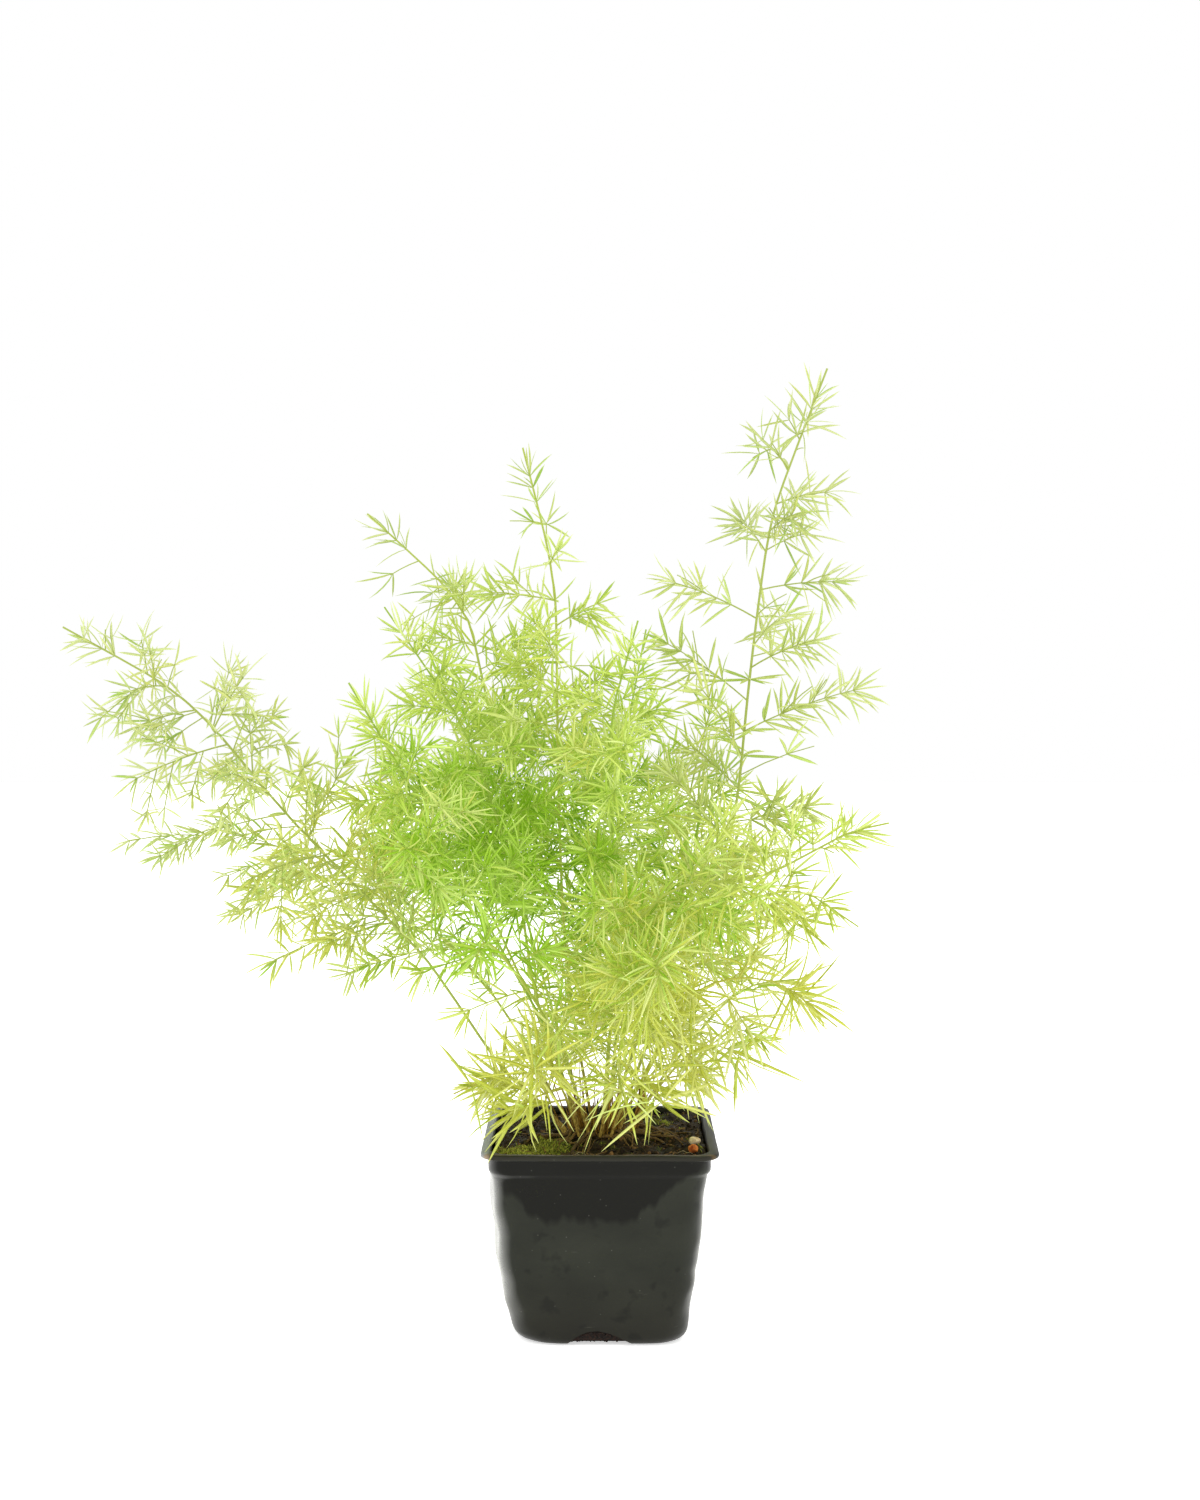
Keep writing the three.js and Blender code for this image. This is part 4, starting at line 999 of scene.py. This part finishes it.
shoots = [
    ("left_arch", "pale", .98, .36, 54, 12, 15, 1,
     [(-14, -3, 83), (-45, -8, 116), (-76, -14, 162), (-129, -24, 220), (-173, -34, 272), (-222, -42, 303)]),
    ("left_low", "fresh", .85, .42, 44, 13.6, 14, 1,
     [(-13, 5, 83), (-36, 12, 124), (-56, 20, 150), (-92, 34, 184), (-128, 46, 206)]),
    ("left_mid", "deep", .88, .4, 40, 13.6, 15, 1,
     [(-9, -6, 83), (-22, -16, 128), (-38, -26, 160), (-64, -36, 210), (-84, -40, 246), (-104, -42, 280)]),
    ("left_peak", "fresh", .88, .4, 40, 13.6, 15, 1,
     [(-9, 9, 83), (-30, 22, 146), (-40, 34, 214), (-51, 40, 268), (-64, 44, 314), (-106, 48, 356)]),
    ("centre_left", "deep", .85, .42, 40, 13.6, 15, 1,
     [(-6, 1, 84), (-22, 2, 140), (-42, -2, 212), (-60, -8, 262), (-92, -14, 312)]),
    ("centre_peak", "fresh", .9, .4, 38, 13.6, 14, 1,
     [(-3, 6, 84), (-14, 8, 150), (-18, 6, 225), (-19, 0, 306), (-24, -6, 344), (-33, -10, 380)]),
    ("tall_right", "pale", 1, .34, 50, 12.8, 16, 1,
     [(4, 2, 84), (26, 6, 148), (56, 8, 210), (64, 8, 268), (70, 6, 320), (77, 4, 358), (98, 0, 415)]),
    ("right_arch", "fresh", .85, .46, 34, 13.6, 16, 1.05,
     [(1, -7, 84), (8, -34, 160), (28, -52, 194), (66, -62, 202), (98, -68, 219), (116, -70, 224)]),
    ("right_fan", "fresh", .85, .42, 34, 13.6, 16, 1.05,
     [(7, -1, 84), (32, -14, 150), (60, -24, 184), (84, -32, 192), (108, -38, 178)]),
    ("right_low", "young", .85, .36, 30, 11, 19, 1.15,
     [(8, -6, 84), (26, -22, 126), (44, -34, 152), (72, -44, 156), (98, -50, 138)]),
    ("right_mid", "fresh", .85, .42, 36, 13.6, 14, 1,
     [(8, 5, 84), (26, 26, 132), (38, 44, 184), (42, 56, 230), (54, 62, 276)]),
    ("right_back", "fresh", .85, .4, 32, 12, 16, 1.05,
     [(12, 0, 83), (38, 12, 118), (64, 22, 142), (94, 30, 146)]),
    ("back_centre", "deep", .85, .42, 40, 16.5, 14, 1,
     [(2, 12, 83), (6, 42, 142), (8, 66, 204), (14, 84, 262), (22, 92, 304)]),
    ("back_left", "fresh", .85, .42, 42, 17, 14, 1,
     [(-8, 14, 83), (-32, 46, 134), (-60, 74, 188), (-88, 94, 232), (-112, 104, 258)]),
    ("inner_right", "deep", .85, .42, 34, 13.6, 14, 1,
     [(3, -2, 84), (8, -6, 142), (6, -12, 206), (4, -18, 258), (16, -24, 306)]),
    ("front_tuft", "fresh", .85, .46, 30, 12, 16, 1.1,
     [(-5, -9, 84), (-18, -30, 128), (-34, -52, 160), (-46, -72, 176), (-50, -94, 166)]),
    ("front_centre", "fresh", .85, .36, 32, 11, 17, 1.1,
     [(0, -12, 83), (8, -34, 124), (16, -52, 154), (22, -74, 168), (24, -96, 156)]),
    ("low_rosette", "young", .8, .4, 27, 9, 23, 1.3,
     [(-9, -12, 83), (-16, -28, 108), (-23, -44, 122), (-30, -66, 120)]),
    ("low_left", "young", .8, .42, 24, 9, 20, 1.25,
     [(-15, -8, 83), (-28, -16, 102), (-42, -24, 112), (-62, -30, 106)]),
    ("front_star", "young", .8, .5, 20, 9, 24, 1.3,
     [(4, -16, 83), (12, -28, 104), (20, -42, 114), (26, -58, 108)]),
    ("right_front", "young", .8, .4, 28, 10, 20, 1.2,
     [(12, -8, 83), (28, -18, 110), (46, -26, 126), (70, -32, 118)]),
]
shootKeys = ("name", "colour", "radius", "bare", "spread", "pitch", "needle", "bold", "route")
shoots = [dict(zip(shootKeys, row)) for row in shoots]


def chance(a, b, c, d):  # a repeatable number from 0 to 1 for four whole numbers
    low = 0xffffffff
    h = growth["seed"] ^ ((a + 1) * 0x9e3779b1 & low) ^ ((b + 1) * 0x85ebca6b & low)
    h ^= ((c + 1) * 0xc2b2ae35 & low) ^ ((d + 1) * 0x27d4eb2f & low)
    h = (h ^ (h >> 15)) * 0x2c1b3c6d & low
    h = (h ^ (h >> 12)) * 0x297a2d39 & low
    return (h ^ (h >> 15)) / 4294967296


def unit(v):
    return v / max(1e-12, math.sqrt(v @ v))


def clearsPot(p):
    outside = max(abs(p[0]), abs(p[1])) > growth["potHalf"]
    return outside or p[2] > max(growth["rim"], soilTop(p[0], p[1])) + growth["rimGap"]


def lineOf(points, side):
    steps = [0.0]
    for a, b in zip(points, points[1:]):
        steps.append(steps[-1] + float(np.linalg.norm(b - a)))
    return {"points": points, "at": steps, "side": side, "length": steps[-1]}


def thinned(points, error):
    a, b = points[0], points[-1]
    chord = b - a
    off = []
    for p in points:
        t = min(1, max(0, (p - a) @ chord / (chord @ chord)))
        off.append(float(np.linalg.norm(p - a - chord * t)))
    worst = off.index(max(off))
    if off[worst] < error:
        return [a, b]
    return thinned(points[:worst + 1], error)[:-1] + thinned(points[worst:], error)


def stemLine(shoot):
    first = np.array(shoot["route"][0], float)
    route = [first - (0, 0, growth["depthInSoil"]), *(np.array(p, float) for p in shoot["route"])]
    last = len(route) - 1
    ends = [2 * route[0] - route[1], *route, 2 * route[-1] - route[-2]]
    curve = []
    for d in range(12 * last + 1):
        place = last * (d / (12 * last))
        i = min(last - 1, int(place))
        w = place - i
        p0, p1, p2, p3 = ends[i:i + 4]
        t0, t1 = 0.5 * (p2 - p0), 0.5 * (p3 - p1)
        curve.append(p1 + t0 * w + (3 * (p2 - p1) - 2 * t0 - t1) * w * w + (2 * (p1 - p2) + t0 + t1) * w ** 3)
    side = unit(np.cross(route[-1] - route[0], (0, 0, 1)))
    return lineOf(thinned(curve, growth["bendError"]), side)


def framed(point, ahead, across):
    side = unit(across - ahead * (across @ ahead))
    return {"point": point, "ahead": ahead, "side": side, "other": np.cross(ahead, side)}


def walk(line, distance):
    i = 0
    while i < len(line["points"]) - 2 and line["at"][i + 1] < distance:
        i += 1
    a, b = line["points"][i], line["points"][i + 1]
    ahead = unit(b - a)
    return framed(a + ahead * (distance - line["at"][i]), ahead, line["side"])


def leaning(spot, lean, turn):
    lean, turn = math.radians(lean), math.radians(turn)
    outward = spot["side"] * math.cos(turn) + spot["other"] * math.sin(turn)
    return spot["ahead"] * math.cos(lean) + outward * math.sin(lean)


mostRods = 60000
rods = {"from": np.zeros((mostRods, 3)), "to": np.zeros((mostRods, 3)), "radius": np.zeros(mostRods),
        "middle": np.zeros((mostRods, 3)), "reach": np.zeros(mostRods), "tag": np.zeros((mostRods, 4), int),
        "count": 0}


def addRod(a, b, radius, tag):  # tag: shoot, branch, whorl or -1, and 1 on the tube of a line
    n = rods["count"]
    rods["from"][n], rods["to"][n], rods["radius"][n] = a, b, radius
    rods["middle"][n], rods["reach"][n] = (a + b) / 2, np.linalg.norm(b - a) / 2
    rods["tag"][n] = tag
    rods["count"] = n + 1


def addLineRods(line, radius, shoot, branch):
    for a, b in zip(line["points"], line["points"][1:]):
        addRod(a, b, radius, (shoot, branch, -1, 1))


def rodDistance(p, q, a, b):
    d1, d2, r = q - p, b - a, p - a
    aa, ee, f = d1 @ d1, d2 @ d2, d2 @ r
    c, bb = d1 @ r, d1 @ d2
    den = aa * ee - bb * bb
    s = min(1, max(0, (bb * f - c * ee) / den)) if den > 1e-9 else 0
    t = (bb * s + f) / ee
    if t < 0 or t > 1:
        t = min(1, max(0, t))
        s = min(1, max(0, (bb * t - c) / aa))
    return np.linalg.norm(r + d1 * s - d2 * t)


def isClear(p, q, radius, gap, skip):
    n = rods["count"]
    need = radius + gap + rods["radius"][:n]
    far = rods["middle"][:n] - (p + q) / 2
    near = np.einsum("ij,ij->i", far, far) <= (np.linalg.norm(q - p) / 2 + rods["reach"][:n] + need) ** 2
    for i in np.nonzero(near)[0]:
        if not skip(rods["tag"][i]) and rodDistance(p, q, rods["from"][i], rods["to"][i]) < need[i]:
            return False
    return True


def branchLine(fork, lean, turn, length, steps=6):
    away = leaning(fork, lean, turn)
    points = []
    for i in range(steps + 1):
        s = i / steps * length
        p = fork["point"] + away * s
        p[2] -= growth["branchSag"] * s * s / length
        points.append(p)
    return lineOf(points, unit(np.cross(away, fork["ahead"])))


def branchShare(t):
    return 0.34 + 0.66 * math.sin(math.pi * min(1, 0.22 + 0.78 * t)) ** 0.8


def leaderLength(shoot, stem):
    return max(0.8 * shoot["needle"] + 10, min(growth["leader"], growth["leaderShare"] * stem["length"]))


def growBranch(shoot, f, name, fork, side, length):
    radius = growth["branchRadius"] * shoot["bold"]
    for attempt in range(3):
        turn = fork["turned"] + growth["branchTurn"] + 120 * side
        turn += growth["turnSpread"] * (chance(f, name, attempt, 5) - 0.5)
        lean = growth["branchLean"] + growth["leanSpread"] * (chance(f, name, attempt, 6) - 0.5)
        line = branchLine(fork["spot"], lean, turn, length)
        points = line["points"]
        own = lambda tag: tag[0] == f and tag[1] == -1
        if not all(clearsPot(p) for p in points):
            continue
        if not all(isClear(a, b, radius, growth["branchGap"], own) for a, b in zip(points, points[1:])):
            continue
        addLineRods(line, radius * 0.8, f, name)
        return {"name": name, "line": line, "radius": radius}
    return None


def growForks(shoot, f, stem):
    start = shoot["bare"] * stem["length"]
    end = stem["length"] - leaderLength(shoot, stem)
    forks = []
    for b in range(max(1, math.floor((end - start) / shoot["pitch"]))):
        at = start + shoot["pitch"] * (b + 0.5 * chance(f, b, 0, 1))
        spread = shoot["spread"] * branchShare((at - start) / (end - start))
        fork = {"spot": walk(stem, at), "at": at, "branches": []}
        for attempt in range(growth["tries"]):
            fork["turned"] = (growth["turn"] * b + 360 * chance(f, 0, 0, 3) + 40 * chance(f, b, 0, 4)
                              + 37 * attempt)
            for side in range(3):
                name = 3 * b + side
                if side == 2 and len(fork["branches"]) > 1:
                    continue
                branch = growBranch(shoot, f, name, fork, side, spread * (0.7 + 0.42 * chance(f, name, 0, 2)))
                if branch:
                    fork["branches"].append(branch)
            if fork["branches"]:
                break
        if fork["branches"]:
            forks.append(fork)
    return forks


def branchesOf(forks):
    return [branch for fork in forks for branch in fork["branches"]]


def leaderOf(shoot, stem):
    start = stem["length"] - leaderLength(shoot, stem)
    length = leaderLength(shoot, stem) - 0.8 * shoot["needle"]
    points = [walk(stem, start + length * i / 6)["point"] for i in range(7)]
    return {"name": growth["leaderId"], "line": lineOf(points, stem["side"]),
            "radius": growth["branchRadius"] * shoot["bold"]}


def ownRods(f, name, w):
    def own(tag):
        mine = tag[1] == name or (name == growth["leaderId"] and tag[1] == -1)
        return tag[0] == f and mine and (tag[2] == w or tag[3] == 1)
    return own


def growWhorls(shoot, f, branch, needles):
    line, name = branch["line"], branch["name"]
    leafy = 1 - growth["firstWhorl"]
    count = max(2, math.floor(line["length"] * leafy / growth["whorlSpacing"] + 0.5) + 1)
    width = growth["whorlWidth"] * shoot["bold"]
    shares = [growth["firstWhorl"] + leafy * w / (count - 1) for w in range(count)]
    spots = [walk(line, min(s * line["length"], line["length"] - width * 0.6)) for s in shares]
    needles.append(growTip(shoot, f, name, count - 1, spots[-1]))
    for w, spot in enumerate(spots):
        turned = growth["whorlTwist"] * w + 360 * chance(f, name, 0, 7)
        grown = [growNeedle(shoot, f, name, w, slot, spot, turned, w == count - 1)
                 for slot in whorlSlots(f, name, w)]
        grown = [n for n in grown if n]
        if w == count - 1 or len(grown) >= growth["fewestNeedles"]:
            needles.extend(grown)


def growTip(shoot, f, name, w, spot):
    thick = growth["needleRadius"] * shoot["bold"]
    for attempt in range(growth["tries"]):
        toward = leaning(spot, 2.5 * attempt, 360 * chance(f, name, 50, attempt))
        length = shoot["needle"] * (1 - 0.3 * chance(f, name, 51, 8)) * (1 - 0.06 * attempt)
        tip = spot["point"] + toward * length
        if clearsPot(tip) and isClear(spot["point"], tip, thick, growth["needleGap"], ownRods(f, name, w)):
            break
    addRod(spot["point"], tip, thick, (f, name, w, 0))
    return spot["point"], toward, length


def whorlSlots(f, name, w):
    first = math.floor(3 * chance(f, name, w, 9))
    order = [(slot + 2 * first) % 6 for slot in (0, 2, 4, 1, 3, 5)]
    return order[:5 + math.floor(1.8 * chance(f, name, w, 10))]


def growNeedle(shoot, f, name, w, slot, spot, turned, last):
    upper = slot % 2
    thick = growth["needleRadius"] * shoot["bold"]
    own = ownRods(f, name, w)
    for attempt in range(growth["tries"]):
        draw = lambda n: chance(f * 64 + name, w, slot * 16 + attempt, n)
        offset = growth["sideTurn"] + growth["sideSpread"] * draw(11)
        turn = turned + 60 + 120 * (slot // 2) + (-offset if upper else offset)
        lean = growth["upperLean" if upper else "lowerLean"] + growth["needleSpread"] * draw(12)
        lean -= growth["lastLean"] if last else 0
        length = shoot["needle"] * (1.15 - 0.4 * draw(13) - 0.02 * attempt)
        toward = leaning(spot, lean, turn)
        start, tip = spot["point"] + toward * growth["needleFoot"], spot["point"] + toward * length
        middle = start + (tip - start) * growth["thickPart"]
        if not clearsPot(middle) or not clearsPot(tip):
            continue
        halves = ((start, middle, thick), (middle, tip, thick * growth["tipThin"]))
        if all(isClear(*half, growth["needleGap"], own) for half in halves):
            for half in halves:
                addRod(*half, (f, name, w, 0))
            return spot["point"], toward, length
    return None


lowBox, highBox = (np.array(corner) / mm for corner in cadBox)


def inBox(p):
    return bool(np.all(p > lowBox + 0.4) and np.all(p < highBox - 0.4))


def blobs(p, parts):
    return sum(share * math.exp(-((p[0] - x) / wide) ** 2 - ((p[2] - z) / high) ** 2)
               for x, z, wide, high, share in parts)


def fullness(p):  # from sparse outer sprays to the thick middle
    return min(1.0, finer["sparse"] + blobs(p, finer["dense"]))


def sprout(shoot, key, spot, number, lean, needles, size=1.0):  # extra needles around a spot
    turned = 360 * chance(*key, 31)
    if chance(*key, 37) > fullness(spot["point"]):
        return
    for i in range(number):
        draw = lambda n: chance(key[0] * 16 + i, key[1], key[2], n)
        turn = turned + 360 * i / number + finer["turnSpread"] * draw(33)
        toward = leaning(spot, lean + finer["leanSpread"] * (draw(32) - 0.5), turn)
        length = shoot["needle"] * size * (0.8 + 0.45 * draw(34)) * (1 + blobs(spot["point"], finer["longs"]))
        tip = spot["point"] + toward * length
        if clearsPot(tip) and inBox(tip):
            needles.append((spot["point"], toward, length))


def fillIn(shoot, f, stem, forks, lines, needles):  # whorls and twigs between the solids' own
    lacy, young = shoot["name"] in finer["lacy"], shoot["colour"] == "young"
    for b, fork in enumerate(forks):
        sprout(shoot, (500 + f, b, 0), fork["spot"], *finer["fork"], needles)
    step = growth["whorlSpacing"] / 2
    for branch in [] if lacy else [*branchesOf(forks), leaderOf(shoot, stem)]:
        line, name = branch["line"], branch["name"]
        for k in range(int(line["length"] / step)):
            at = 0.18 * line["length"] + step * (k + 0.5 * chance(f, name, k, 35))
            if at < line["length"] - 1.5:
                sprout(shoot, (540 + f, name, k), walk(line, at), *finer["between"], needles)
    start = growth["depthInSoil"] + finer["twigStart"]
    end = stem["length"] - 0.6 * leaderLength(shoot, stem)
    for k in range(int((end - start) / finer["twigEvery"])):
        draw = lambda n: chance(f, k, n, 36)
        at = start + finer["twigEvery"] * (k + 0.7 * draw(1))
        spot = walk(stem, at)
        if at < forks[0]["at"] - 6 and (young or spot["point"][0] < -18):
            continue
        if draw(5) > fullness(spot["point"]) * (finer["youngTwigs"] if young else 1):
            continue
        share = branchShare((at - start) / (end - start))
        length = shoot["spread"] * share * finer["twigLength"] * (0.6 + 0.8 * draw(2))
        twig = branchLine(spot, finer["twigLean"] + finer["twigSpread"] * draw(3), 360 * draw(4), length)
        addTwig(shoot, (580 + f, k), twig, lines, needles)
    places, size, most = finer["lacyTwigs" if lacy else "sideTwigs"]
    for branch in [] if young else branchesOf(forks):
        line, name = branch["line"], branch["name"]
        for k, share in enumerate(places):
            if chance(f, name, k, 39) <= most:
                length = size * line["length"] * (0.6 + 0.8 * chance(f, name, k, 38))
                spot = walk(line, share * line["length"])
                twig = branchLine(spot, finer["twigLean"], 360 * chance(f, name, k, 40), length)
                addTwig(shoot, (620 + f, 4 * name + k), twig, lines, needles)


def addTwig(shoot, key, line, lines, needles):
    points = line["points"]
    if not all(clearsPot(p) and inBox(p) for p in points) or fullness(points[-1]) < finer["twigLeast"]:
        return
    lines.append((points[::2], finer["twigThickness"] * shoot["bold"], finer["twigEnd"]))
    for w in range(int(line["length"] / finer["twigWhorl"]) + 1):
        at = min(line["length"] - 0.5, 0.25 * line["length"] + finer["twigWhorl"] * w)
        sprout(shoot, (*key, w), walk(line, at), *finer["onTwig"], needles, 0.95)


def addStars(shoot, stem, needles, droops):  # open stars of long needles near the ends of some shoots
    for n, (name, share, number, lean, size, droop) in enumerate(finer["stars"]):
        if name != shoot["name"]:
            continue
        spot = walk(stem, share * stem["length"])
        for i in range(number):
            draw = lambda m: chance(700 + n, i, m, 41)
            toward = leaning(spot, lean + finer["starLean"] * (draw(0) - 0.5),
                             360 * (i + finer["starTurn"] * draw(1)) / number)
            length = shoot["needle"] * size * (0.8 + 0.35 * draw(2))
            tip = spot["point"] + toward * length - np.array((0, 0, droop * length))
            if clearsPot(tip) and inBox(tip):
                droops[len(needles)] = droop
                needles.append((spot["point"], toward, length))


def eulerOf(x, y, z):  # the turns that bring the three axes to these directions
    return np.stack([np.arctan2(y[:, 2], z[:, 2]), np.arcsin(np.clip(-x[:, 2], -1, 1)),
                     np.arctan2(x[:, 1], x[:, 0])], axis=1)


def needleRows(shoot, f, needles, droops):  # the foot of each needle, and what the tree reads there
    rng = np.random.default_rng(4000 + f)
    starts, ways, lengths = (np.array(part, float) for part in zip(*needles))
    count, kind = len(starts), finer["young" if shoot["colour"] == "young" else "grown"]
    flat = np.cross(ways, rng.normal(size=(count, 3)))
    flat /= np.linalg.norm(flat, axis=1)[:, None]
    across = np.cross(flat, ways)
    wide = finer["needleWidth"] * kind["wide"] * shoot["bold"] ** 0.6
    wide = wide * rng.uniform(*finer["widths"], count) * finer["broad"].get(shoot["name"], 1.0)
    clouds = np.array([noise.noise(Vector(p) / 30) for p in starts])
    x, z, halfWidth, halfHeight = finer["crown"]
    outers = np.hypot((starts[:, 0] - x) / halfWidth, (starts[:, 2] - z) / halfHeight) - 0.95 + 0.2 * clouds
    wide *= 0.98 - finer["outerThin"] * np.clip(outers / 0.3, 0, 1)
    sag, curl = (finer[name] * kind[name] for name in ("sag", "curl"))
    bends = flat * (curl * lengths * rng.uniform(-1, 1, count))[:, None]
    bends += across * (0.6 * curl * lengths * rng.uniform(-1, 1, count))[:, None]
    bends[:, 2] -= sag * lengths * (1 - ways[:, 2] ** 2) * rng.uniform(*finer["sags"], count)
    for i, droop in droops.items():
        bends[i] = (*(bends[i][:2] * 0.6), -droop * lengths[i] * rng.uniform(*finer["droops"]))
    tips = starts + ways * lengths[:, None] + bends
    bends -= np.maximum(0, tips - (highBox - 0.2)) + np.minimum(0, tips - (lowBox + 0.2))
    bends[:, 2] += np.maximum(0, finer["lowest"] - tips[:, 2])
    sprays = np.array([noise.noise(Vector(p) / 17 + Vector((4, 1, 8))) for p in starts])
    # painted light and shade: needles further back get a darker tint, those at the front a slightly lighter
    # one
    ahead = np.clip(-finer["frontLightBackShade"] * starts[:, 1], -0.2, 0.06)
    tints = finer["tint"] + finer["tintClouds"] * sprays + finer["tintSpread"] * rng.normal(size=count)
    hues = finer["hueSpread"] * rng.normal(size=count)
    spots = np.array([noise.noise(Vector(p) / 24) for p in starts])
    warms, greens = (np.array([blobs(p, finer[name]) for p in starts]) for name in ("warms", "greens"))
    return starts, {
        "isNeedle": np.ones(count), "turn": eulerOf(across, flat, ways), "bend": bends * mm,
        "tint": np.clip(tints + ahead, 0, 1),
        "size": np.stack([wide, wide * finer["needleThickness"], lengths], axis=1) * mm,
        "outer": outers, "warm": warms + 0.6 * clouds + hues, "green": greens + 0.5 * spots - hues,
    }


def shootMesh(shoot, f, lines, needles, droops):  # its lines, and a lone point at each needle's foot
    points, edges, stems = [], [], {"thickness": [], "age": [], "tint": []}
    for route, thick, end in lines:
        edges += [(len(points) + i, len(points) + i + 1) for i in range(len(route) - 1)]
        points += list(route)
        for i, p in enumerate(route):
            share = i / (len(route) - 1)
            stems["thickness"].append(thick * (1 - (1 - end) * share) * mm)
            stems["age"].append(math.exp(-max(0.0, p[2] - 86) / 16))
            stems["tint"].append(0.35 + 0.3 * share)
    starts, leaves = needleRows(shoot, f, needles, droops)
    values = {}
    for name in {**stems, **leaves}:
        leaf = leaves.get(name, np.zeros(len(starts)))
        stem = stems.get(name, np.zeros((len(points), *leaf.shape[1:])))
        values[name] = np.concatenate([stem, leaf])
    return meshFrom(shoot["name"], [*points, *starts], [], edges, values)


def needleForm(z):  # how thick a needle is along its length
    form = newNode(z.tree, "ShaderNodeFloatCurve", {"Value": z + 0.5})
    profile = form.mapping.curves[0]
    for x, y in finer["needleForm"]:
        profile.points.new(x, y)
    for i, y in zip((0, -1), finer["needleEnds"]):
        profile.points[i].location = (-i, y)
    form.mapping.update()
    return wire(z.tree, form.outputs[0])


def frondTree():
    tree, given, out = newRule("frond", {"Stem sides": 6, "Needle segments": 5, "Leaf": "Material"})
    feet, lines = parted(given["Geometry"], named(tree, "isNeedle"))
    stems = put(tree, "GeometryNodeGroup", {"Geometry": lines, "Sides": given["Stem sides"],
                                            "Cover": given["Leaf"]}, node_tree=strands)
    blade = shaft(tree, given["Needle segments"], 0.577, 0.5, needleForm)
    blade = stored(blade, "along", partsOf(put(tree, "GeometryNodeInputPosition"))[2], "POINT")
    turn = put(tree, "FunctionNodeEulerToRotation", {0: named(tree, "turn", "FLOAT_VECTOR")})
    laid = laidOut(feet, blade, turn, named(tree, "size", "FLOAT_VECTOR"))
    bend = scaled(named(tree, "bend", "FLOAT_VECTOR"), named(tree, "along") ** 1.8)
    real = put(tree, "GeometryNodeSetShadeSmooth", {"Geometry": realized(laid, Offset=bend)})
    joined(dressed(real, given["Leaf"]), stems).to(out, 0)
    return tree


leafTones = {  # darkest, middle and lightest tint of each kind of shoot, and its stems
    "pale": ("96a651", "aab565", "bcc681", "8a9648"),
    "fresh": ("8fa837", "a9bb4e", "bfca80", "8f9c42"),
    "deep": ("8aa636", "a9bd4d", "bdcc7b", "809838"),
    "young": ("929b28", "abb03c", "bcc079", "9a9c40"),
    "core": ("5e8812", "81a822", "a4c056", "809838"),
    "outer": ("93a25d", "a6b071", "b7c08a", "8a9648"),
}


def leafMaterial(kind):
    material, tree, shader = newMaterial("leaf_" + kind, Roughness=0.5, Specular_IOR_Level=0.2,
                                         Emission_Strength=0.53)
    tint = told(tree, "tint")

    def tintOf(name):  # from its darkest to its lightest tone
        dark, middle, light = leafTones[name][:3]
        return tint.ramp(0.5, 1.0).between(tint.ramp(0.0, 0.5).between(dark, middle), light)

    patch = mottle(tree, 420.0, 2.0, 0.35, 0.7)[0]
    fibre = mottle(tree, 1500.0, 2.0, 0.4, 0.65, (1, 1, 0.2))[0]
    leaf = layered(tintOf(kind), (told(tree, "outer").ramp(0.0, 0.4), tintOf("outer")),
                   (told(tree, "warm").ramp(0.1, 0.9, 0.0, 0.85), tintOf("young")),
                   # the darker core tone: partly the needles' own deeper green, partly painted shade of the
                   # dense middle
                   (patch * 0.25, leafTones[kind][2]), (told(tree, "green").ramp(0.1, 0.9), tintOf("core")),
                   (told(tree, "along").ramp(0.75, 1.0, 0.0, 0.4), "d6dc90"))
    tone = layered(told(tree, "isNeedle").between(leafTones[kind][3], leaf),
                   (told(tree, "age").ramp(0.12, 0.8), fibre.between("5e4a1c", "94803a")))
    # painted glow: each leaf glows with its own tone, standing in for light through the thin needles and
    # lifting the shade in the dense middle
    blend(tree, 0.08, tone, "000000").to(shader, "Base Color")
    tone.to(shader, "Emission Color")
    return material


def makeFronds():
    for f, shoot in enumerate(shoots):
        shoot["stem"] = stemLine(shoot)
        addLineRods(shoot["stem"], shoot["radius"], f, -1)
    for f, shoot in enumerate(shoots):
        shoot["forks"] = growForks(shoot, f, shoot["stem"])
    tree, total = frondTree(), 0
    leaves = {kind: leafMaterial(kind) for kind in ("pale", "fresh", "deep", "young")}
    for f, shoot in enumerate(shoots):
        name, stem, forks = shoot["name"], shoot["stem"], shoot["forks"]
        needles, droops = [], {}
        for branch in [leaderOf(shoot, stem), *branchesOf(forks)]:
            growWhorls(shoot, f, branch, needles)
        needles = [(foot, way, size * (1 + finer["shorter"] * min(0, blobs(foot, finer["longs"]))))
                   for foot, way, size in needles]
        own = len(needles)
        lines = [(stem["points"], finer["stemThickness"] * shoot["radius"], finer["stemEnd"])]
        for branch in branchesOf(forks):
            thick = finer["branchThickness"] * shoot["bold"]
            lines.append((branch["line"]["points"], thick, finer["branchEnd"]))
        fillIn(shoot, f, stem, forks, lines, needles)
        addStars(shoot, stem, needles, droops)
        frond = pieceFrom("frond_" + name, shootMesh(shoot, f, lines, needles, droops), smooth=False)
        grow(frond, tree, {"Stem sides": finer["stemSides"], "Needle segments": finer["needleSegments"],
                           "Leaf": leaves[shoot["colour"]]})
        keepPiece(frond, "foliage_" + shoot["colour"], "shoot_" + name)
        total += len(needles)
        print(f"  needles {own} of the solid and {len(needles) - own} more")
    print("needles in all:", total)


makeFronds()
